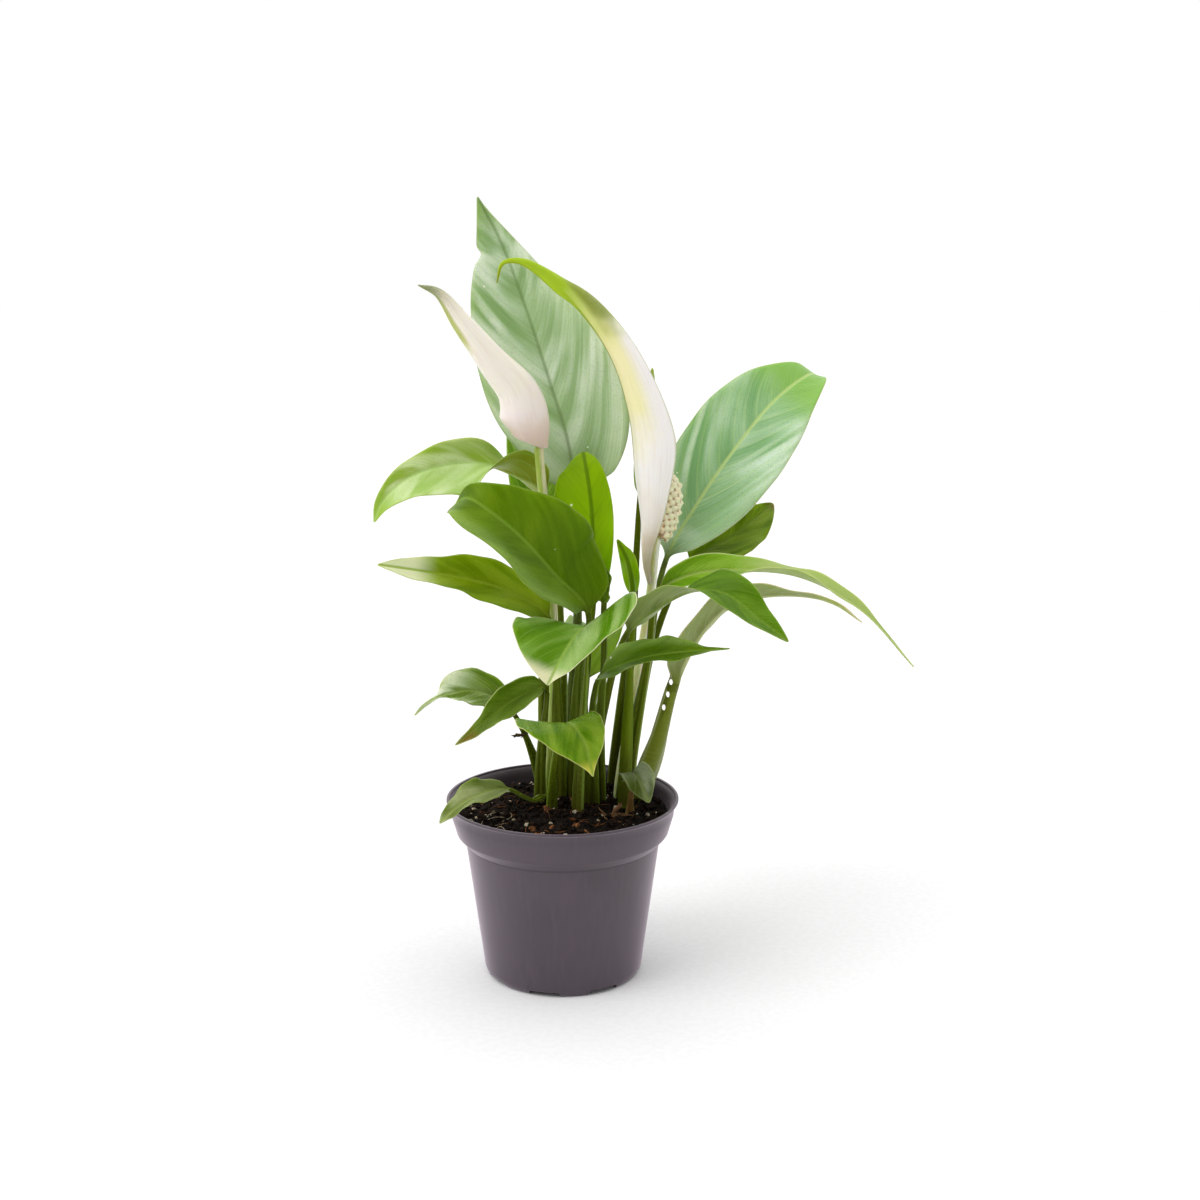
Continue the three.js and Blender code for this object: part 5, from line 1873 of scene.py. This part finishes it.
# ---------------------------------------------------------------- the plant
LEAVES = (
    Leaf(
        name="leaf_back_tall", slot="leaf_silver_green", finish=Green.SILVER_TALL,
        base=(1.5, 23), petiole=((5.5, 21, 128), (5, 20, 184)),
        blade=((2, 24, 206), (-4, 30, 225), (-14, 38, 255), (-24, 44, 281), (-33, 46, 298)),
        faces=((0.1, -1, 0.1), (-0.1, -1, 0.3), (-0.3, -1, 0.5)), half_widths=(26.5, 28),
        widest=(0.4, 0.3), cup=20, wave=2, rounding=0.7, nick_at=0.83, nick_depth=0.22,
    ),
    Leaf(
        name="leaf_right_upper", slot="leaf_silver_green", finish=Green.SILVER_BROAD,
        base=(24, 16), petiole=((33, 18, 120), (40, 14, 161)),
        blade=((53, 21, 183), (67, 29, 202), (83, 38, 220), (97, 48, 229), (102, 58, 228)),
        faces=((-0.3, -1, 0.3), (-0.2, -1, 0.5), (-0.1, -1, 0.8)), half_widths=(20, 22),
        widest=(0.46, 0.46), rounding=0.8, cup=12, fold=6,
    ),
    Leaf(
        name="leaf_right_behind", slot="leaf_dark_green", finish=Green.BROWN_TIPPED,
        base=(25, 22), petiole=((36, 27, 126), (50, 27, 157)), blade=((68, 36, 167), (84, 46, 178)),
        faces=((-0.2, -1, 0.8), (-0.2, -1, 0.8)), half_widths=(9, 13), widest=(0.42, 0.42),
    ),
    Leaf(
        name="leaf_left_arching", slot="leaf_mid_green", finish=Green.ARCHING,
        base=(-2, 15), petiole=((-1, 14, 131), (-6, 11, 186)),
        blade=((-18, 14, 194), (-31, 15, 198), (-47, 12, 197), (-60, 9, 192), (-68, 6, 184), (-71, 4, 177)),
        faces=((0.3, 1, 0.5), (0, -0.9, 0.5), (-0.4, -1, 0.4)), half_widths=(16, 9),
        widest=(0.38, 0.38), quilt=0.15,
    ),
    Leaf(
        name="leaf_upright_young", slot="leaf_young_green", finish=Green.GLOWING,
        base=(8, 9), petiole=((8, 4, 117), (12, -1, 147)),
        blade=((12, -1, 168), (11, 1, 186), (9, 6, 199), (8, 12, 203)),
        faces=((0, 1, 0.2), (0, 1, -0.1)), half_widths=(8, 15), widest=(0.55, 0.55), quilt=0.06,
    ),
    Leaf(
        name="leaf_front_left_broad", slot="leaf_dark_green", finish=Green.DARK,
        base=(4.5, 3), petiole=((6, -3, 118), (10, -13, 146)),
        blade=((-2, -21, 162), (-14, -28, 177), (-25, -31, 187), (-33, -27, 191), (-38, -21, 188)),
        faces=((-0.3, -1, 1), (-0.2, -1, 1), (-0.4, -0.6, 0.8)), half_widths=(14.5, 21),
        widest=(0.58, 0.36), quilt=0.15,
    ),
    Leaf(
        name="leaf_left_lance", slot="leaf_mid_green", finish=Green.LANCE,
        base=(-2, 2), petiole=((-2, 0, 108), (-5, -2, 141)),
        blade=((-18, -3, 151), (-34, -6, 157), (-52, -10, 161), (-68, -13, 164)),
        faces=((0, -1, 1), (0, -1, 1.2)), half_widths=(10, 9), quilt=0.18,
    ),
    Leaf(
        name="leaf_front_centre", slot="leaf_young_green", finish=Green.FRESH,
        base=(6, -9), petiole=((8, -10, 105), (10, -16, 130), (10, -24, 143)),
        blade=((6, -33, 142), (1, -42, 136), (-4, -48, 127)), faces=((-0.6, -0.5, 1.2), (-0.4, -1, 0.7)),
        half_widths=(30, 22), fold=16, widest=(0.28, 0.42),
    ),
    Leaf(
        name="leaf_front_right_dark", slot="leaf_dark_green", finish=Green.DARK,
        base=(11, -3), petiole=((11.5, -5, 102), (12.2, -8, 112), (14.5, -10.5, 120.5)),
        blade=((21.5, -15.5, 126), (33, -21, 131), (48, -26, 134), (62, -29, 136)),
        faces=((0, -0.5, 1), (0, -0.3, 1)), half_widths=(9.5, 13), widest=(0.3, 0.3),
    ),
    Leaf(
        name="leaf_right_folded", slot="leaf_mid_green", finish=Green.FOLDED,
        base=(11.5, 5.5), petiole=((12.4, 5, 88), (16.5, 2.5, 107), (25, -6, 137)),
        blade=((36, -13, 148), (49, -21, 156), (60, -28, 156), (72, -35, 148), (82, -40, 141)),
        faces=((-0.4, 1, 0.5), (0, -0.2, 1), (0.3, -1, 0.8)), half_widths=(11, 11),
    ),
    Leaf(
        name="leaf_right_long", slot="leaf_mid_green", finish=Green.LONG,
        base=(24, 3), petiole=((33, 4, 125), (37, 4, 150)),
        blade=((48, 2, 157), (67, -2, 160), (89, -9, 159), (111, -17, 148), (130, -25, 128)),
        faces=((-0.3, -1, 0.7), (0, 0.1, 1), (0.4, -0.3, 1)), half_widths=(7, 7), widest=(0.3, 0.3),
    ),
    Leaf(
        name="leaf_right_low_arch", slot="leaf_silver_green", finish=Green.ARCH_BACK,
        base=(31, 11), petiole=((37, 13, 88), (43.5, 15, 112)),
        blade=((49, 16, 124), (57, 16, 136), (66, 17, 143), (84, 19, 146), (104, 21, 143), (118, 23, 134)),
        faces=((-0.8, 1, 0.5), (-0.5, 0.4, 0.5), (0, 0.2, 1)), half_widths=(6, 6), widest=(0.3, 0.3),
        sheath=1.5, stem=2.5, neck=2.4, foot_width=3.2, flare=1.3,
        holes=((42.3, 14, 112.2), (41.1, 14, 107.2), (39.5, 14, 101.9)),
    ),
    Leaf(
        name="leaf_low_left_small", slot="leaf_mid_green", finish=Green.SILVER_SMALL,
        base=(-9, 18), petiole=((-16, 14, 93), (-22, 10, 104)),
        blade=((-31, 4, 111), (-42, -1, 112), (-50, -6, 110), (-56, -9, 105)),
        faces=((0, -1, 1), (-0.3, -1, 1)), half_widths=(8, 8), stem=1.5, neck=0.9, widest=(0.36, 0.36),
        tail_from=0.6, tail_slimming=0.85,
    ),
    Leaf(
        name="leaf_low_left_dark", slot="leaf_dark_green", finish=Green.LOW_DARK,
        base=(-9, 4), petiole=((-8, 2, 94), (-6, -1, 108), (-6.5, -4, 115)),
        blade=((-17, -8, 112), (-29, -13, 104), (-40, -18, 96)),
        faces=((-0.2, -1, 0.8), (-0.8, -1, 0.4)), half_widths=(6.5, 6), widest=(0.4, 0.26), stem=1.5,
        neck=0.9,
    ),
    Leaf(
        name="leaf_front_low", slot="leaf_young_green", finish=Green.YELLOWING,
        base=(-4, -9), petiole=((-3, -14, 87), (0, -17, 103)),
        blade=((4, -25, 106), (9, -33, 101), (12, -38, 90)), faces=((0.35, -0.7, 0.9), (0.3, -0.9, 0.4)),
        half_widths=(11, 22), fold=6, stem=1.5, neck=0.9, widest=(0.3, 0.3),
    ),
    Leaf(
        name="leaf_low_right_small", slot="leaf_mid_green", finish=Green.BANDED,
        base=(26, -8), petiole=((27, -8, 79),), blade=((27, -10, 83), (29, -15, 82), (33, -20, 74)),
        faces=((0, -0.7, 1), (0.2, -1, 0.4)), half_widths=(6, 6), stem=1.2, neck=0.9,
    ),
    Leaf(
        name="leaf_over_rim", slot="leaf_mid_green", finish=Green.DULL,
        base=(-7, -3), petiole=((-11, -8, 71), (-15, -12, 74), (-20, -16, 78)),
        blade=((-29, -23, 79), (-37, -27, 76), (-45, -32, 70)), faces=((0, -0.5, 1), (-0.3, -0.5, 1)),
        half_widths=(6, 6), stem=1.2, neck=0.9,
    ),
    Leaf(
        name="leaf_young_spear", slot="leaf_young_green", finish=Green.GLOWING,
        base=(24, -3), petiole=((26, 1, 120), (27, 0, 150)), blade=((25, -2, 163), (21, -4, 172)),
        faces=((0, 1, 0.2), (0, 1, 0.2)), half_widths=(3.5, 3.5), fold=30, stem=1.6,
    ),
    Leaf(
        name="leaf_young_folded", slot="leaf_dark_green", finish=Green.DARK,
        base=(14.5, 0), petiole=((14.4, -2.5, 100), (16, -5, 125), (16, -6, 148)),
        blade=((17, -8, 157), (15.5, -8, 164)), faces=((-0.6, -1, 0.2), (-0.6, -1, 0.2)),
        half_widths=(4, 4), fold=30, stem=1.6,
    ),
    Leaf(
        name="leaf_hidden_spear", slot="leaf_mid_green", finish=Green.MID,
        base=(21, 28), petiole=((27, 24.5, 130), (30, 20, 185)), blade=((33, 22, 214), (34.5, 22, 234)),
        faces=((0, -1, 0.2), (0, -1, 0.2)), half_widths=(4, 4), fold=25,
    ),
    Leaf(
        name="leaf_rear_upper", slot="leaf_mid_green", finish=Green.MID,
        base=(-7, 29), petiole=((-8, 33, 120), (-7, 38, 160)),
        blade=((-8, 50, 190), (-11, 66, 208), (-15, 84, 213), (-18, 98, 206)),
        faces=((0, -1, 0.6), (0, -0.3, 1), (-0.1, 0.2, 1)), half_widths=(15, 15),
    ),
    Leaf(
        name="leaf_rear_low", slot="leaf_dark_green", finish=Green.DARK,
        base=(7, 33), petiole=((7, 37, 90), (8, 42, 105)),
        blade=((10, 54, 117), (13, 70, 121), (15, 86, 115), (16, 98, 102)),
        faces=((0, -1, 0.8), (0, 0.1, 1), (0.1, 0.8, 1)), half_widths=(13, 13),
    ),
)

FLOWERS = (
    Flower(
        name="flower_right", base=(22, 10),
        stalk=((30, 11, 120), (34, 10, 148), (36, 6, 170), (37.6, 6.6, 173.5)),
        spadix=Spadix(
            points=((37.1, 6.2, 171.3), (40.8, 9.8, 179), (41.8, 11.8, 188), (39.2, 12.2, 195)),
            thickest=3.6),
        spathe=Spathe(
            points=((33.4, 7.6, 153), (31.8, 5.4, 160), (31.2, 2.8, 169), (31.4, 1.6, 178),
                    (30, 0.5, 195), (28.4, -1, 214), (21.8, -5, 237), (11, -11, 255.5),
                    (0.5, -16, 267), (-13, -20, 275), (-20, -22, 274), (-22, -22, 267)),
            faces=((0.75, 0.65, 0), (0.75, 0.65, 0), (0.6, 0.6, -0.5), (0.3, 0.4, -0.8)),
            half_widths=(13.5, 13.5), widest=(0.36, 0.36), rounding=1.1, cup=95, foot_width=1.6,
            finish=Bract.OPEN),
        skin=Stem.PALE,
    ),
    Flower(
        name="flower_left", base=(-5, 8),
        stalk=((-3, 5, 120), (-5, 4, 165), (-8, 2, 200), (-8.5, 2, 209)),
        spadix=Spadix(points=((-8.5, 1.8, 210), (-9.5, 1, 217), (-13, 0, 225)), thickest=2, floret=1.2),
        spathe=Spathe(
            points=((-5.8, 0.9, 206), (-5.4, -0.6, 214), (-7, -2, 223), (-11, -3, 231), (-21, -5, 241),
                    (-33, -7, 254), (-43, -9, 264), (-51, -10, 266)),
            faces=((-0.9, 0.4, 0.1), (-0.8, 0.4, -0.5), (-0.6, 0.3, -0.8), (-0.2, 0.2, -1)),
            half_widths=(9.5, 9.5), widest=(0.2, 0.2), cup=160, foot_width=18.5, gather=0.05,
            finish=Bract.ROLLED),
    ),
)

LITTER = (
    Litter(name="peat_crumbs", finish=Grain.CRUMB, count=1500, sizes=(0.7, 2.4), flat=0.75, rough=0.9,
           seed=3),
    Litter(name="perlite_grains", finish=Grain.PERLITE, count=80, sizes=(0.6, 1.9), flat=0.85, rough=0.8,
           seed=11, lift=0.3),
    Litter(name="bark_chips", finish=Grain.BARK, count=10, sizes=(1.4, 3.2), flat=0.45, rough=0.9, seed=23,
           lift=0.3),
    Litter(name="bark_chips_front", finish=Grain.BARK, count=16, sizes=(1.6, 3.6), flat=0.5, rough=0.9,
           seed=5, lift=0.4, spread=(-3.0, -34.0, 13.0)),
)

THREADS = (
    Threads(name="peat_fibres", finish=Grain.BARK, count=70, lengths=(3.0, 8.0), radius=0.12, curl=0.5,
            seed=8),
    Threads(name="root_threads_left", finish=Stem.ROOT, count=14, lengths=(6.0, 13.0), radius=0.1, curl=0.6,
            seed=15, spread=(-28.0, -20.0, 7.0)),
    Threads(name="root_threads_right", finish=Stem.DRY, count=4, lengths=(7.0, 12.0), radius=0.25, curl=0.9,
            seed=31, spread=(17.0, -11.0, 3.0)),
    Threads(name="dry_sheath_shreds", finish=Grain.SHRED, count=9, lengths=(4.0, 8.0), radius=0.4, curl=0.5,
            seed=12, lift=25.0, spread=(-17.0, 10.0, 3.0)),
)


# ---------------------------------------------------------------- studio
@dataclass(frozen=True)
class Studio:
    """White paper, a bright room that is dimmer in front, a soft key light, and the camera."""

    paper_radius: float = 6000.0
    camera_place: Point = (14.5, -650.0, 284.7)
    camera_pitch: float = 11.88
    lens: float = 52.53
    front: float = 0.28
    back: float = 1.0
    top: float = 0.6
    key_from: Point = (-0.75, -0.45, 0.9)
    key_power: float = 1.15
    key_spread: float = 40.0

    def build(self) -> None:
        """Lays the paper, hangs the lights and stands the camera."""
        self._paper()
        self._sky()
        self._lamp()
        self._camera()
        bpy.context.scene.view_settings.view_transform = "Standard"

    def _paper(self) -> None:
        """Lays a round sheet of paper whose middle is level."""
        bpy.ops.object.select_all(action="DESELECT")
        bpy.ops.mesh.primitive_circle_add(vertices=96, radius=self.paper_radius * MM, fill_type="NGON")
        paper = bpy.context.object
        paper.name = "studio_paper"
        paper.data.materials.append(PaperFinish().material())

    def _sky(self) -> None:
        """Lights the room with white, dimmer in front and brighter above, and shows it as plain white."""
        world = bpy.data.worlds.new("white_room")
        world.use_nodes = True
        n = Nodes(world.node_tree)
        toward = n.add("TexCoord", out="Generated")
        depth, height = (n.add("SeparateXYZ", {"Vector": toward}, out=axis) for axis in "YZ")
        level = n.add("MapRange", {"Value": depth, "From Min": -0.9, "From Max": 0.3, "To Min": self.front,
                                   "To Max": self.back}, interpolation_type="SMOOTHSTEP")
        above = n.add("MapRange", {"Value": height, "From Min": 0.2, "To Max": self.top})
        light = n.add("Math", {0: level, 1: above}, operation="ADD")
        shown = n.add("Mix", {0: n.add("LightPath", out="Is Camera Ray"), 2: light, 3: 1.0})
        background = n.tree.nodes["Background"]
        background.inputs["Color"].default_value = linear(0xFFFFFF)
        n.tree.links.new(shown, background.inputs["Strength"])
        bpy.context.scene.world = world

    def _lamp(self) -> None:
        """Hangs a broad key light, far off to the upper left."""
        light = bpy.data.lights.new("key_softbox", "SUN")
        light.angle = np.radians(self.key_spread)
        light.energy = self.key_power
        lamp = bpy.data.objects.new("key_softbox", light)
        lamp.rotation_euler = Vector(self.key_from).to_track_quat("Z", "Y").to_euler()
        bpy.context.scene.collection.objects.link(lamp)

    def _camera(self) -> None:
        """Stands the camera a little above the plant, tilted down."""
        lens = bpy.data.cameras.new("camera")
        lens.sensor_width, lens.lens = 36.0, self.lens
        camera = bpy.data.objects.new("camera", lens)
        camera.location = Vector(self.camera_place) * MM
        camera.rotation_euler = (np.radians(90 - self.camera_pitch), 0, 0)
        bpy.context.scene.collection.objects.link(camera)
        bpy.context.scene.camera = camera


def write_sizes() -> None:
    """Brings the scene's placements up to date."""
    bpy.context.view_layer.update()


def main() -> None:
    """Builds the studio and then the plant, from the pot up."""
    logging.basicConfig(level=logging.INFO, format="%(name)s: %(message)s")
    Studio().build()
    Pot().build()
    Peat().build()
    for litter in (*LITTER, *THREADS):
        litter.build()
    DryStub().build()
    for number, leaf in enumerate(LEAVES):
        leaf.build(number)
    for flower in FLOWERS:
        flower.build()
    write_sizes()


if __name__ == "__main__":
    main()
